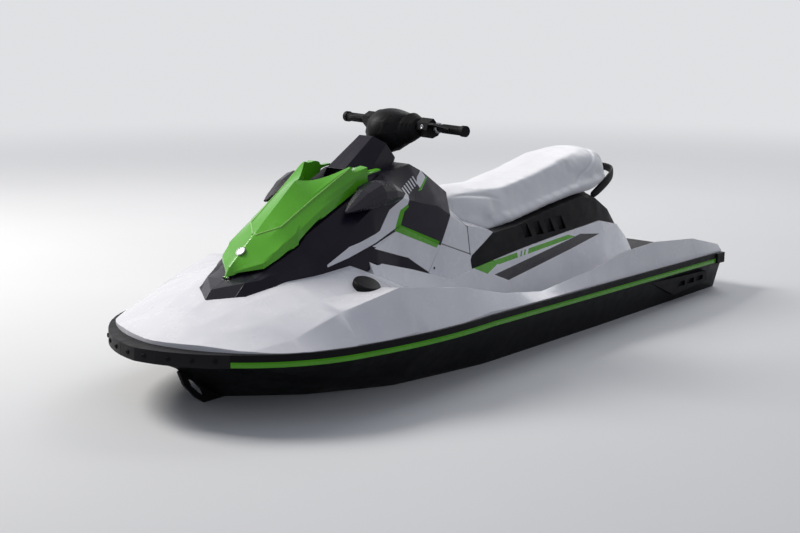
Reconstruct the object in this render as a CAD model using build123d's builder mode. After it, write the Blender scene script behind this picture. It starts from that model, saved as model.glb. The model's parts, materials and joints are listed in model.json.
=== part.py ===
from build123d import *
import math
import os

os.makedirs("parts", exist_ok=True)

# Sit-down personal watercraft with a jet pump.
# Tables and names give x forward of the transom and z above the keel, in millimetres.
# The model frame has its origin at the waterline amidships: +X forward, +Y port, +Z up.

# Overall sizes
LENGTH = 3140
DRAFT = 220
MIDSHIP = LENGTH / 2
FIT_GAP = 0.3
MOVING_GAP = 6
PIN_CLEARANCE = 0.05

# Sheer line: the lower edge of the gunwale rail, straight in side view
SHEER_STERN_Z = 348
SHEER_ANGLE = 1.535
RAIL_HEIGHT = 43
RAIL_DEPTH = 16
RAIL_STAND_OUT = 9
STRIPE_HEIGHT = 13
JOINT_HEIGHT = 20

# Footwell tub of the deck, which hangs below the joint
TUB_FLOOR = 12
TUB_WALL = 10
TUB_CAMBER = 3

# Plan of the gunwale rail, half breadths at named stations
STERN_HALF = 480
QUARTER_X = 1900
QUARTER_HALF = 550
WIDEST_X = 2280
WIDEST_HALF = 563
SHOULDER_X = 2600
SHOULDER_HALF = 527
CHEEK_X = 2850
CHEEK_HALF = 435
CORNER_X = 3000
CORNER_HALF = 305
BOW_MID_X = 3100
BOW_MID_HALF = 150

# Moulded edge of hull and deck inside the bow bumper
EDGE_CHEEK_HALF = 422
EDGE_CORNER_X = 2955
EDGE_CORNER_HALF = 318
EDGE_BOW_MID_X = 3040
EDGE_BOW_MID_HALF = 150
EDGE_BOW_X = 3068

# Bow bumper
BUMPER_START_X = 2996
BUMPER_SPLIT_HALF = 92
BUMPER_DROP = 3
BUMPER_SEAM = 1

# Stern bumpers
STERN_BUMPER_LENGTH = 72
STERN_BUMPER_STAND_OUT = 12

# Towing eye under the bow, in side view
EYE_VIEW = [(2952, 350), (2930, 300), (2880, 246), (2800, 190), (2740, 176), (2740, 300), (2900, 380)]
EYE_HOLE_VIEW = [(2912, 318), (2898, 290), (2862, 256), (2838, 246), (2850, 268), (2884, 304)]
EYE_HALF = 7

# Engine bay, a well under the seat, and the engine in it
BAY_X = (830, 1490)
BAY_HALF = 125
BAY_FLOOR_Z = 95
ENGINE_SIZE = (500, 230, 330)
ENGINE_X = 1170

# Front storage bin under the hood
BIN_X = (2290, 2560)
BIN_HALF = 100
BIN_FLOOR_Z = 446
BIN_WALL = 5
BIN_RIM_Z = 628

# Jet pump, on the keel line at the stern
PUMP_AXIS_Z = 132
PUMP_RADIUS = 84
PUMP_BORE = 76
PUMP_OUTLET_X = 195
PUMP_CONE_X = 226
PUMP_OUTLET_RADIUS = 50
PUMP_OUTLET_BORE = 42
TUNNEL_RADIUS = 92
TUNNEL_X = 560
TUNNEL_CHAMBER_X = 240
TUNNEL_CHAMBER_HALF = 135
TUNNEL_CHAMBER_TOP = 310
INTAKE_X = 980
INTAKE_HALF = 80

# Jet tunnel moulding, let into the bottom of the hull at the stern
TUNNEL_BLOCK_X = 800
TUNNEL_BLOCK_HALF = 175
TUNNEL_BLOCK_TOP = 322

# Pump, impeller and shaft
PUMP_END_X = 545
PUMP_FLANGE = 12
PUMP_FLANGE_RADIUS = 100
VANE_COUNT = 6
VANE_THICKNESS = 5
IMPELLER_X = (400, 500)
IMPELLER_RADIUS = 73
BLADE_COUNT = 3
BLADE_SWEEP = 110
BLADE_STEPS = 4
BLADE_THICKNESS = 7
SHAFT_END_X = 905
HUB_RADIUS = 27
SHAFT_RADIUS = 14
SHAFT_CLEARANCE = 0.05

# Steering nozzle and reverse bucket
NOZZLE_PIVOT_X = 190
NOZZLE_X = (75, 202)
NOZZLE_RADIUS = 72
NOZZLE_WALL = 6
NOZZLE_EXIT_RADIUS = 48
NOZZLE_PIN_RADIUS = 6
NOZZLE_LUG_GAP = 6
LUG_THICKNESS = 8
LUG_HALF = 12
BUCKET_PIVOT_X = 140
BUCKET_CENTRE = (BUCKET_PIVOT_X, PUMP_AXIS_Z)
BUCKET_RADIUS = 90
BUCKET_WALL = 6
BUCKET_START = 76
BUCKET_SWEEP = 74
BUCKET_ARM_Y = 72
BUCKET_ARM = 6
BUCKET_PIN_RADIUS = 6
BUCKET_BOSS_RADIUS = 14

# Steering: the column leans aft, and the bar is turned a little to starboard
COLUMN_LEAN = 47.6
STEER_REST = -11
PIVOT_X = 1870
PIVOT_Z = 1100
NOZZLE_RATIO = 0.8


def at(x, y, z):
    """A place given from the transom and the keel, in the model frame."""
    return (x - MIDSHIP, y, z - DRAFT)


def station(x):
    """The cross-section plane at x, with sketch axes port and up from the keel."""
    return Plane(origin=at(x, 0, 0), x_dir=(0, 1, 0), z_dir=(1, 0, 0))


def profile_plane(y):
    """The lengthwise plane at y, with sketch axes forward of the transom and up from the keel."""
    return Plane(origin=at(0, y, 0), x_dir=(1, 0, 0), z_dir=(0, -1, 0))


def level_plane(z):
    """The level plane at z, with sketch axes forward of the transom and port."""
    return Plane(origin=at(0, 0, z), x_dir=(1, 0, 0), z_dir=(0, 0, 1))


def sheer_plane(rise):
    """The plane of the sheer line, raised by a height square to it."""
    angle = math.radians(SHEER_ANGLE)
    base = Plane(
        origin=at(0, 0, SHEER_STERN_Z),
        x_dir=(math.cos(angle), 0, math.sin(angle)),
        z_dir=(-math.sin(angle), 0, math.cos(angle)),
    )
    return base.offset(rise)


def sheer_z(x, rise):
    """Height of the raised sheer plane at x."""
    angle = math.radians(SHEER_ANGLE)
    return SHEER_STERN_Z + x * math.tan(angle) + rise / math.cos(angle)


def circle_half(x, a, b, c):
    """Half breadth at x on the circle through three plan points."""
    (ax, ay), (bx, by), (cx, cy) = a, b, c
    d = 2 * (ax * (by - cy) + bx * (cy - ay) + cx * (ay - by))
    ux = ((ax**2 + ay**2) * (by - cy) + (bx**2 + by**2) * (cy - ay) + (cx**2 + cy**2) * (ay - by)) / d
    uy = ((ax**2 + ay**2) * (cx - bx) + (bx**2 + by**2) * (ax - cx) + (cx**2 + cy**2) * (bx - ax)) / d
    radius = math.hypot(ax - ux, ay - uy)
    return uy + math.sqrt(max(radius**2 - (x - ux) ** 2, 0))


STERN_POINT = (0, STERN_HALF)
QUARTER_POINT = (QUARTER_X, QUARTER_HALF)
WIDEST_POINT = (WIDEST_X, WIDEST_HALF)
SHOULDER_POINT = (SHOULDER_X, SHOULDER_HALF)
CHEEK_POINT = (CHEEK_X, CHEEK_HALF)
CORNER_POINT = (CORNER_X, CORNER_HALF)
BOW_MID_POINT = (BOW_MID_X, BOW_MID_HALF)


def half_beam(x):
    """Half breadth of the rail's outer face at x."""
    if x <= QUARTER_X:
        return STERN_HALF + (QUARTER_HALF - STERN_HALF) * x / QUARTER_X
    if x <= SHOULDER_X:
        return circle_half(x, QUARTER_POINT, WIDEST_POINT, SHOULDER_POINT)
    return circle_half(min(x, CORNER_X), SHOULDER_POINT, CHEEK_POINT, CORNER_POINT)


def outer_outline(plane):
    """Plan of the rail's and the bumper's outer face."""
    with BuildSketch(plane) as outline:
        with BuildLine():
            Line((0, 0), STERN_POINT)
            Line(STERN_POINT, QUARTER_POINT)
            ThreePointArc(QUARTER_POINT, WIDEST_POINT, SHOULDER_POINT)
            ThreePointArc(SHOULDER_POINT, CHEEK_POINT, CORNER_POINT)
            ThreePointArc(CORNER_POINT, BOW_MID_POINT, (LENGTH, 0))
            mirror(about=Plane.XZ)
        make_face()
    return outline.sketch


def moulded_outline(plane, inset):
    """Plan of the hull's and deck's moulded edge inside rail and bumper."""
    bow_inset = inset - RAIL_STAND_OUT
    quarter = (QUARTER_X, QUARTER_HALF - inset)
    shoulder = (SHOULDER_X, SHOULDER_HALF - inset)
    corner = (EDGE_CORNER_X, EDGE_CORNER_HALF - bow_inset)
    with BuildSketch(plane) as outline:
        with BuildLine():
            Line((0, 0), (0, STERN_HALF - inset))
            Line((0, STERN_HALF - inset), quarter)
            ThreePointArc(quarter, (WIDEST_X, WIDEST_HALF - inset), shoulder)
            ThreePointArc(shoulder, (CHEEK_X, EDGE_CHEEK_HALF - bow_inset), corner)
            ThreePointArc(corner, (EDGE_BOW_MID_X - bow_inset, EDGE_BOW_MID_HALF), (EDGE_BOW_X - bow_inset, 0))
            mirror(about=Plane.XZ)
        make_face()
    return outline.sketch


def section(x, half):
    """A full closed section at x from its port half, listed from bottom centre to top centre."""
    starboard = [(-y, z) for y, z in reversed(half) if y > 0]
    with BuildSketch(station(x)) as outline:
        with BuildLine():
            Polyline(*half, *starboard, close=True)
        make_face()
    return outline.sketch


def side_view(points, y=0):
    """An outline in side view, as a face on the lengthwise plane at y."""
    with BuildSketch(profile_plane(y)) as outline:
        with BuildLine():
            Polyline(*points, close=True)
        make_face()
    return outline.sketch


# Hull: x, keel z, chine y, chine z, bilge y, bilge z
HULL_TABLE = [
    (0, 6, 395, 150, 425, 185),
    (900, 0, 405, 155, 435, 190),
    (1800, 0, 400, 175, 440, 215),
    (2250, 35, 365, 215, 410, 255),
    (2550, 120, 300, 265, 350, 305),
    (2800, 245, 205, 335, 260, 365),
    (2960, 365, 120, 400, 160, 415),
    (3068, 418, 60, 432, 90, 440),
]

# Deck: x, shoulder y, z, wall foot y, z, inner floor y, z, centre z
DECK_TABLE = [
    (0, 452, 424, 405, 388, 240, 392, 394),
    (260, 460, 488, 405, 402, 240, 406, 408),
    (620, 470, 524, 405, 405, 250, 409, 411),
    (880, 478, 521, 410, 345, 262, 348, 354),
    (1150, 484, 482, 415, 335, 266, 338, 344),
    (1500, 488, 456, 420, 335, 268, 338, 344),
    (1750, 490, 492, 422, 350, 275, 354, 360),
    (2000, 490, 556, 412, 465, 285, 510, 520),
    (2350, 480, 612, 372, 598, 275, 655, 690),
    (2600, 430, 560, 330, 588, 200, 628, 650),
    (2800, 400, 500, 280, 545, 150, 572, 584),
    (2960, 330, 474, 200, 508, 100, 522, 528),
    (3075, 300, 468, 180, 478, 90, 482, 484),
]

# Pedestal: x, foot y, foot z, top y, top z
PEDESTAL_TABLE = [
    (330, 190, 402, 150, 470),
    (430, 205, 402, 160, 545),
    (620, 235, 402, 190, 588),
    (900, 258, 340, 206, 578),
    (1250, 266, 332, 216, 555),
    (1600, 272, 332, 226, 525),
    (1750, 280, 350, 238, 510),
    (2000, 290, 495, 246, 590),
    (2250, 282, 600, 250, 660),
]

# Hood hinge under the tip of the hood's nose: one knuckle on the hood, pin and ears on the cowl
HINGE_X = 2719
HINGE_Z = 642
HINGE_PIN_RADIUS = 2
KNUCKLE_RADIUS = 4
KNUCKLE_HALF = 9
KNUCKLE_GAP = 1
EAR_RADIUS = 3.5
EAR_WIDTH = 6
EAR_DROP = 12

# Hood: x, centre z, ridge y, z, crease y, z, edge y, z
HOOD_TABLE = [
    (2722, 647, 1, 646.6, 2, 646, 3, 643),
    (2704, 677, 2, 676.8, 4, 676.4, 22, 649),
    (2638, 731, 2, 730.8, 104, 694, 105, 672),
    (2586, 772, 2, 771.8, 120, 734, 126, 702),
    (2522, 823, 74, 802, 126, 770, 137, 731),
    (2500, 840, 77, 814, 127, 782, 140, 742),
    (2465, 868, 81, 834, 130, 802, 143, 780),
    (2374, 941, 92, 886, 135, 854, 147, 825),
    (2203, 986, 118, 986, 146, 951, 150, 900),
    (2144, 984, 128, 984, 150, 982, 151, 926),
    (2058, 966, 130, 966, 138, 965, 139, 958),
]
HORN_NOTCH = [(2362, 0), (2203, 113), (2040, 115), (2040, -115), (2203, -113)]
HOOD_WALL = 9
HOOD_LIFT = 2

# The cowl lies this much under the hood's lower edge
SHELF_DROP = 7

# Cowl under and behind the hood: x, deck y, deck z, break y, z, shelf y, z, centre z
COWL_TABLE = [
    (2816, 10, 574, 2, 580, 1, 582, 582.6),
    (2793, 52, 573, 3, 611, 1, 611.6, 612),
    (2765, 102, 572, 36, 621, 2, 621.6, 622),
    (2739, 145, 573, 70, 629, 2, 630, 631),
    (2722, 148, 572, 92, 634, 2, 643, 643.4),
    (2672, 171, 586, 122, 641, 62, 659, 660),
    (2638, 192, 590, 134, 655, 105, 671, 672),
    (2603, 190, 582, 166, 655, 122, 694, 695),
    (2500, 230, 597, 198, 694, 140, 742, 744),
    (2465, 238, 600, 205, 712, 145, 780, 782),
    (2350, 260, 610, 222, 760, 151, 834, 835),
    (2203, 254, 640, 226, 845, 153, 898, 899),
    (2058, 228, 600, 215, 870, 142, 956, 957),
    (1880, 236, 500, 205, 820, 128, 966, 968),
    (1790, 236, 470, 200, 800, 122, 926, 928),
    (1600, 232, 470, 188, 690, 112, 807, 809),
]

# Panels of the cowl in side view, x and z
FAIRING_VIEW = [
    (2840, 500), (2840, 1100), (1835, 1100), (1835, 935),
    (1970, 812), (2030, 752), (2215, 700), (2260, 500),
]
CONSOLE_VIEW = [
    (1835, 1100), (1835, 935), (1970, 812), (2030, 752),
    (1795, 648), (1690, 772), (1560, 900), (1560, 1100),
]
LOWER_COVER_VIEW = [(2215, 700), (2030, 752), (1795, 648), (1884, 560), (1960, 606), (2000, 632)]
FRONT_COVER_VIEW = [
    (1690, 772), (1795, 648), (1884, 556), (1770, 490),
    (1600, 490), (1600, 705), (1655, 750),
]
TRIM_VIEW = [(2260, 500), (2215, 700), (2000, 632), (1960, 606), (1884, 560), (1884, 500)]

# The front cover's tongue along the seat, in side view
TONGUE_VIEW = [(1640, 500), (1586, 576), (1410, 650), (1410, 800), (1640, 800)]

# Nose panel in plan, forward of a seam on each side
NOSE_PLAN = [
    (2628, -106), (2722, -92), (2766, -84), (2840, -84),
    (2840, 84), (2766, 84), (2722, 92), (2628, 106),
]

# Seat base: x, foot y, foot z, top y, top z
SEAT_BASE_TABLE = [
    (426, 158, 530, 140, 556),
    (500, 172, 545, 152, 622),
    (620, 186, 560, 162, 688),
    (760, 198, 560, 172, 708),
    (900, 204, 555, 178, 698),
    (1250, 212, 540, 186, 650),
    (1410, 218, 520, 190, 642),
    (1500, 222, 505, 189, 672),
    (1604, 226, 490, 184, 700),
]

# Vents in the sides of the seat base
VENT_X = (900, 985, 1070, 1155)
VENT_WIDTH = 52
VENT_Z = (592, 650)
VENT_LEAN = 26
VENT_HALF = 184

# Seat: x, bottom y, z, side y, z, top y, z, centre z
SEAT_TABLE = [
    (404, 44, 790, 56, 812, 40, 846, 852),
    (436, 84, 768, 104, 806, 78, 866, 876),
    (500, 122, 740, 150, 790, 112, 880, 894),
    (620, 146, 722, 180, 778, 132, 882, 899),
    (800, 156, 716, 190, 764, 136, 866, 882),
    (1000, 160, 696, 190, 738, 134, 824, 838),
    (1250, 160, 658, 184, 706, 126, 788, 802),
    (1400, 150, 642, 172, 704, 112, 796, 808),
    (1520, 124, 676, 146, 722, 96, 812, 826),
    (1592, 96, 752, 108, 772, 76, 814, 822),
]
SEAT_REST_GAP = 0.5

# Handlebar in its own frame: u forward across the column, v port, w up the column
BAR_RADIUS = 11
BAR_PATH = [(-30, 60, 25), (-40, 120, 42), (-58, 190, 70), (-58, 366, 70)]
GRIP_RADIUS = 16
GRIP_V = (236, 350)
KNOB_RADIUS = 21
KNOB_V = (350, 367)
SWITCH_V = (134, 200)
SWITCH_HALF = (36, 27)

# Handlebar cover: v, centre u, centre w, half size along u, half size along w
COVER_TABLE = [
    (-132, -43, 47, 30, 32),
    (-116, -40, 40, 40, 46),
    (-92, -32, 29, 52, 64),
    (-48, -23, 12, 76, 88),
    (0, -21, 8, 84, 100),
    (48, -23, 12, 76, 88),
    (92, -32, 29, 52, 64),
    (116, -40, 40, 40, 46),
    (132, -43, 47, 30, 32),
]

# Outline of the handlebar cover, as shares of its half sizes along u and w
COVER_SHAPE = [
    (-1, 0), (-0.88, -0.55), (-0.5, -0.9), (0.1, -1), (0.62, -0.8), (0.95, -0.35),
    (0.92, 0.12), (0.7, 0.5), (0.3, 0.8), (-0.2, 1), (-0.7, 0.9), (-0.97, 0.5),
]

# Column neck under the cover: w, then its port half as pairs of u and v
NECK_TABLE = [
    (-300, [(92, 44), (30, 104), (-80, 100), (-150, 60)]),
    (-99, [(55, 34), (20, 80), (-60, 78), (-108, 42)]),
]

# Steering stem, from the cover down into the neck
STEM_RADIUS = 16
STEM_W = (-170, -60)

# Mirror housing, port: x, inner y, outer y, low z, high z
MIRROR_TABLE = [
    (2322, 198, 212, 839, 847),
    (2285, 174, 232, 841, 874),
    (2230, 156, 252, 845, 914),
    (2165, 148, 264, 849, 941),
    (2105, 144, 264, 853, 936),
    (2062, 142, 257, 858, 912),
]

# Outline of the mirror housing, as shares of its breadth and height
MIRROR_SHAPE = [(0.12, 0), (0.82, 0), (1, 0.28), (0.97, 0.6), (0.8, 0.87), (0.5, 1), (0.2, 0.93), (0, 0.62), (0, 0.2)]
GLASS_SHARE = 0.86
GLASS_THICKNESS = 4

# Grab handle: x, y, z of the port half of its centre line
HANDLE_PATH = [(612, 118, 640), (585, 122, 690), (392, 112, 768), (354, 86, 786), (340, 42, 794)]
HANDLE_RADIUS = 13

# Sponsons in side view and their breadth
SPONSON_VIEW = [(664, 350), (455, 262), (160, 284), (168, 328)]
SPONSON_OUTER = 488
SPONSON_INNER = 430
POCKET_X = (230, 312, 394)
POCKET_Z = 304
POCKET_SIZE = (60, 22)
POCKET_DEPTH = 12

# Fuel cap, port side only
CAP_CENTRE = (2384, 352, 598)
CAP_TILT = 22
CAP_RADIUS = 50
CAP_HEIGHT = 24
CAP_DEPTH = 30
CAP_ROUND = 9

# Floor mats in plan, and their thickness
MAT_THICKNESS = 4
FOOTWELL_MAT = [(900, 285), (1760, 292), (1740, 400), (930, 392)]
RAMP_MAT = [(700, 268), (880, 285), (905, 392), (720, 388)]
PLATFORM_MAT = [(30, 380), (300, 380), (300, -380), (30, -380)]

# Ride plate under the pump tunnel, with lips against the tunnel's sides
RIDE_PLATE_X = (6, 545)
RIDE_PLATE_Z = (20, 30)
RIDE_PLATE_BOLTS = (480, 150)
RIDE_PLATE_HOLE = 4.2
PLATE_LIP_X = (260, 545)
PLATE_LIP = 7
PLATE_LIP_TOP = 62

# Intake grate
GRATE_X = (566, 850)
GRATE_Z = (22, 32)
GRATE_BARS = (-52, -26, 0, 26, 52)
GRATE_BAR_WIDTH = 7

with BuildPart() as rail_void:
    with BuildSketch(sheer_plane(-BUMPER_DROP)):
        Rectangle(3 * LENGTH, 3 * WIDEST_HALF)
    extrude(amount=RAIL_HEIGHT + BUMPER_DROP)
    extrude(moulded_outline(sheer_plane(-2 * BUMPER_DROP), RAIL_DEPTH), amount=2 * RAIL_HEIGHT, mode=Mode.SUBTRACT)

with BuildPart() as moulded_block:
    extrude(moulded_outline(level_plane(-50), RAIL_STAND_OUT), amount=900)

with BuildPart() as tunnel_block:
    with BuildSketch(level_plane(-50)):
        with Locations((TUNNEL_BLOCK_X / 2 - 50, 0)):
            Rectangle(TUNNEL_BLOCK_X + 100, 2 * TUNNEL_BLOCK_HALF)
    extrude(amount=TUNNEL_BLOCK_TOP + 50)

with BuildPart() as engine_well:
    with BuildSketch(level_plane(BAY_FLOOR_Z)):
        with Locations((sum(BAY_X) / 2, 0)):
            RectangleRounded(BAY_X[1] - BAY_X[0], 2 * BAY_HALF, 20)
    extrude(amount=700)

with BuildPart() as bin_well:
    with BuildSketch(level_plane(BIN_FLOOR_Z)):
        with Locations((sum(BIN_X) / 2, 0)):
            RectangleRounded(BIN_X[1] - BIN_X[0], 2 * BIN_HALF, 30)
    extrude(amount=700)

with BuildPart() as pump_tunnel:
    with BuildSketch(station(0)):
        with Locations((0, PUMP_AXIS_Z)):
            Circle(TUNNEL_RADIUS)
        with Locations((0, PUMP_AXIS_Z / 2 - 100)):
            Rectangle(2 * TUNNEL_RADIUS, PUMP_AXIS_Z + 200)
    extrude(amount=TUNNEL_X)
    with BuildSketch(station(-10)):
        with Locations((0, TUNNEL_CHAMBER_TOP / 2 - 100)):
            Rectangle(2 * TUNNEL_CHAMBER_HALF, TUNNEL_CHAMBER_TOP + 200)
    extrude(amount=TUNNEL_CHAMBER_X + 10)
    duct_top = PUMP_AXIS_Z + PUMP_BORE
    duct = [(TUNNEL_X - 1, -60), (TUNNEL_X - 1, duct_top), (TUNNEL_X + 60, duct_top - 8), (INTAKE_X, -60)]
    extrude(side_view(duct), amount=INTAKE_HALF, both=True)
    with BuildSketch(station(TUNNEL_X)):
        with Locations((0, PUMP_AXIS_Z)):
            Circle(SHAFT_RADIUS + SHAFT_CLEARANCE)
    extrude(amount=BAY_X[0] - TUNNEL_X + 10)


def deck_underside(x, shoulder_y, shoulder_z, foot_y, foot_z):
    """The deck's underside at x, from the centre of the tub out to the joint at its side."""
    joint_z = sheer_z(x, JOINT_HEIGHT)
    under_z = min(joint_z - TUB_CAMBER, foot_z - TUB_FLOOR)
    wall_lean = (shoulder_y - foot_y) / (shoulder_z - foot_z)
    flange_y = foot_y + TUB_WALL + wall_lean * max(joint_z - foot_z, 1)
    side = half_beam(x) - RAIL_STAND_OUT / 2
    return [(0, under_z), (foot_y + TUB_WALL, under_z), (flange_y, joint_z), (side, joint_z)]


with BuildPart() as deck:
    deck_sections = []
    tub_sections = []
    for x, shoulder_y, shoulder_z, foot_y, foot_z, inner_y, inner_z, centre_z in DECK_TABLE:
        underside = deck_underside(x, shoulder_y, shoulder_z, foot_y, foot_z)
        side = underside[-1][0]
        top = [(side, sheer_z(x, RAIL_HEIGHT)), (shoulder_y, shoulder_z), (foot_y, foot_z)]
        deck_sections.append(section(x, [*underside, *top, (inner_y, inner_z), (0, centre_z)]))
        above = sheer_z(x, 2 * RAIL_HEIGHT)
        tub_sections.append(section(x, [*underside, (side, above), (0, above)]))
    loft(deck_sections, ruled=True)
    add(moulded_block.part, mode=Mode.INTERSECT)
    add(rail_void.part, mode=Mode.SUBTRACT)
    add(engine_well.part, mode=Mode.SUBTRACT)
    add(bin_well.part, mode=Mode.SUBTRACT)
deck.part.label = "deck"
export_step(deck.part, "parts/deck.step")

with BuildPart() as pedestal:
    pedestal_sections = []
    for x, foot_y, foot_z, top_y, top_z in PEDESTAL_TABLE:
        pedestal_sections.append(section(x, [(0, foot_z), (foot_y, foot_z), (top_y, top_z), (0, top_z + 2)]))
    loft(pedestal_sections, ruled=True)
    add(engine_well.part, mode=Mode.SUBTRACT)
    add(deck.part, mode=Mode.SUBTRACT)
pedestal.part.label = "pedestal"
export_step(pedestal.part, "parts/pedestal.step")

with BuildPart() as hull_mould:
    hull_sections = []
    for x, keel, chine_y, chine_z, bilge_y, bilge_z in HULL_TABLE:
        side = half_beam(x) - RAIL_STAND_OUT / 2
        top = sheer_z(x, JOINT_HEIGHT)
        hull_sections.append(
            section(x, [(0, keel), (chine_y, chine_z), (bilge_y, bilge_z), (side, top), (0, top)])
        )
    loft(hull_sections, ruled=True)
    add(moulded_block.part, mode=Mode.INTERSECT)
    add(rail_void.part, mode=Mode.SUBTRACT)

with BuildPart() as hull:
    add(hull_mould.part)
    loft(tub_sections, ruled=True, mode=Mode.SUBTRACT)
    add(tunnel_block.part, mode=Mode.SUBTRACT)
    add(pump_tunnel.part, mode=Mode.SUBTRACT)
    add(engine_well.part, mode=Mode.SUBTRACT)
hull.part.label = "hull"
export_step(hull.part, "parts/hull.step")

with BuildPart() as jet_tunnel:
    add(hull_mould.part)
    add(tunnel_block.part, mode=Mode.INTERSECT)
    add(pump_tunnel.part, mode=Mode.SUBTRACT)
jet_tunnel.part.label = "jet_tunnel"
export_step(jet_tunnel.part, "parts/jet_tunnel.step")

with BuildPart() as engine:
    length, width, height = ENGINE_SIZE
    with BuildSketch(level_plane(BAY_FLOOR_Z)):
        with Locations((ENGINE_X, 0)):
            Rectangle(length, width)
    extrude(amount=height)
    fillet(engine.edges().filter_by(Axis.Z), 20)
    chamfer(engine.faces().sort_by(Axis.Z)[-1].edges(), 18)
engine.part.label = "engine"
export_step(engine.part, "parts/engine.step")

with BuildPart() as storage_bin:
    with BuildSketch(level_plane(BIN_FLOOR_Z)):
        with Locations((sum(BIN_X) / 2, 0)):
            RectangleRounded(BIN_X[1] - BIN_X[0] - 2 * FIT_GAP, 2 * (BIN_HALF - FIT_GAP), 30)
    extrude(amount=BIN_RIM_Z - BIN_FLOOR_Z)
    rim = storage_bin.faces().sort_by(Axis.Z)[-1]
    offset(amount=-BIN_WALL, openings=rim)
storage_bin.part.label = "storage_bin"
export_step(storage_bin.part, "parts/storage_bin.step")


def between(low_x, high_x, low_y, high_y):
    """A tall block between two stations and two half breadths, to keep part of a ring."""
    plan = Plane(origin=at((low_x + high_x) / 2, (low_y + high_y) / 2, 0))
    with BuildSketch(plan) as rectangle:
        Rectangle(high_x - low_x, high_y - low_y)
    return extrude(rectangle.sketch, amount=1200, mode=Mode.PRIVATE)


def rail_ring(outset_face, rise, height):
    """The ring between an outer outline and the moulded edge, at a height above the sheer line."""
    outer = extrude(outset_face, amount=height, mode=Mode.PRIVATE)
    edge = moulded_outline(sheer_plane(rise), RAIL_DEPTH - FIT_GAP)
    inner = extrude(edge, amount=height, mode=Mode.PRIVATE)
    return outer - inner


SIDES = (("port", 1), ("starboard", -1))
OUT = 2 * WIDEST_HALF

for name, sign in SIDES:
    keep_y = (0, OUT) if sign > 0 else (-OUT, 0)
    with BuildPart() as rail:
        add(rail_ring(outer_outline(sheer_plane(STRIPE_HEIGHT)), STRIPE_HEIGHT, RAIL_HEIGHT - STRIPE_HEIGHT))
        add(between(STERN_BUMPER_LENGTH, BUMPER_START_X, *keep_y), mode=Mode.INTERSECT)
    rail.part.label = f"rail_{name}"
    export_step(rail.part, f"parts/rail_{name}.step")

    with BuildPart() as stripe:
        add(rail_ring(outer_outline(sheer_plane(0)), 0, STRIPE_HEIGHT))
        add(between(STERN_BUMPER_LENGTH, BUMPER_START_X, *keep_y), mode=Mode.INTERSECT)
    stripe.part.label = f"rail_stripe_{name}"
    export_step(stripe.part, f"parts/rail_stripe_{name}.step")

    with BuildPart() as stern_bumper:
        add(rail_ring(outer_outline(sheer_plane(-BUMPER_DROP)), -BUMPER_DROP, RAIL_HEIGHT + BUMPER_DROP))
        with BuildSketch(sheer_plane(-BUMPER_DROP)):
            with Locations((STERN_BUMPER_LENGTH / 2, sign * STERN_HALF)):
                RectangleRounded(STERN_BUMPER_LENGTH, 2 * STERN_BUMPER_STAND_OUT, 5)
        extrude(amount=RAIL_HEIGHT + BUMPER_DROP)
        add(between(0, STERN_BUMPER_LENGTH, *keep_y), mode=Mode.INTERSECT)
        add(hull_mould.part, mode=Mode.SUBTRACT)
        add(deck.part, mode=Mode.SUBTRACT)
    stern_bumper.part.label = f"stern_bumper_{name}"
    export_step(stern_bumper.part, f"parts/stern_bumper_{name}.step")

BOW_SEGMENTS = [
    ("centre", -BUMPER_SPLIT_HALF, BUMPER_SPLIT_HALF),
    ("port", BUMPER_SPLIT_HALF + BUMPER_SEAM, OUT),
    ("starboard", -OUT, -BUMPER_SPLIT_HALF - BUMPER_SEAM),
]
for name, low_y, high_y in BOW_SEGMENTS:
    with BuildPart() as bumper:
        add(rail_ring(outer_outline(sheer_plane(-BUMPER_DROP)), -BUMPER_DROP, RAIL_HEIGHT + BUMPER_DROP))
        add(between(BUMPER_START_X, LENGTH + 10, low_y, high_y), mode=Mode.INTERSECT)
    bumper.part.label = f"bow_bumper_{name}"
    export_step(bumper.part, f"parts/bow_bumper_{name}.step")

with BuildPart() as bow_eye:
    extrude(side_view(EYE_VIEW), amount=EYE_HALF, both=True)
    extrude(side_view(EYE_HOLE_VIEW), amount=2 * EYE_HALF, both=True, mode=Mode.SUBTRACT)
    add(hull.part, mode=Mode.SUBTRACT)
bow_eye.part.label = "bow_eye"
export_step(bow_eye.part, "parts/bow_eye.step")


def hinge_circle(y, radius):
    """A circle about the hood's hinge line at y."""
    with BuildSketch(Plane(origin=at(HINGE_X, y, HINGE_Z), x_dir=(1, 0, 0), z_dir=(0, 1, 0))) as circle:
        Circle(radius)
    return circle.sketch


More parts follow.
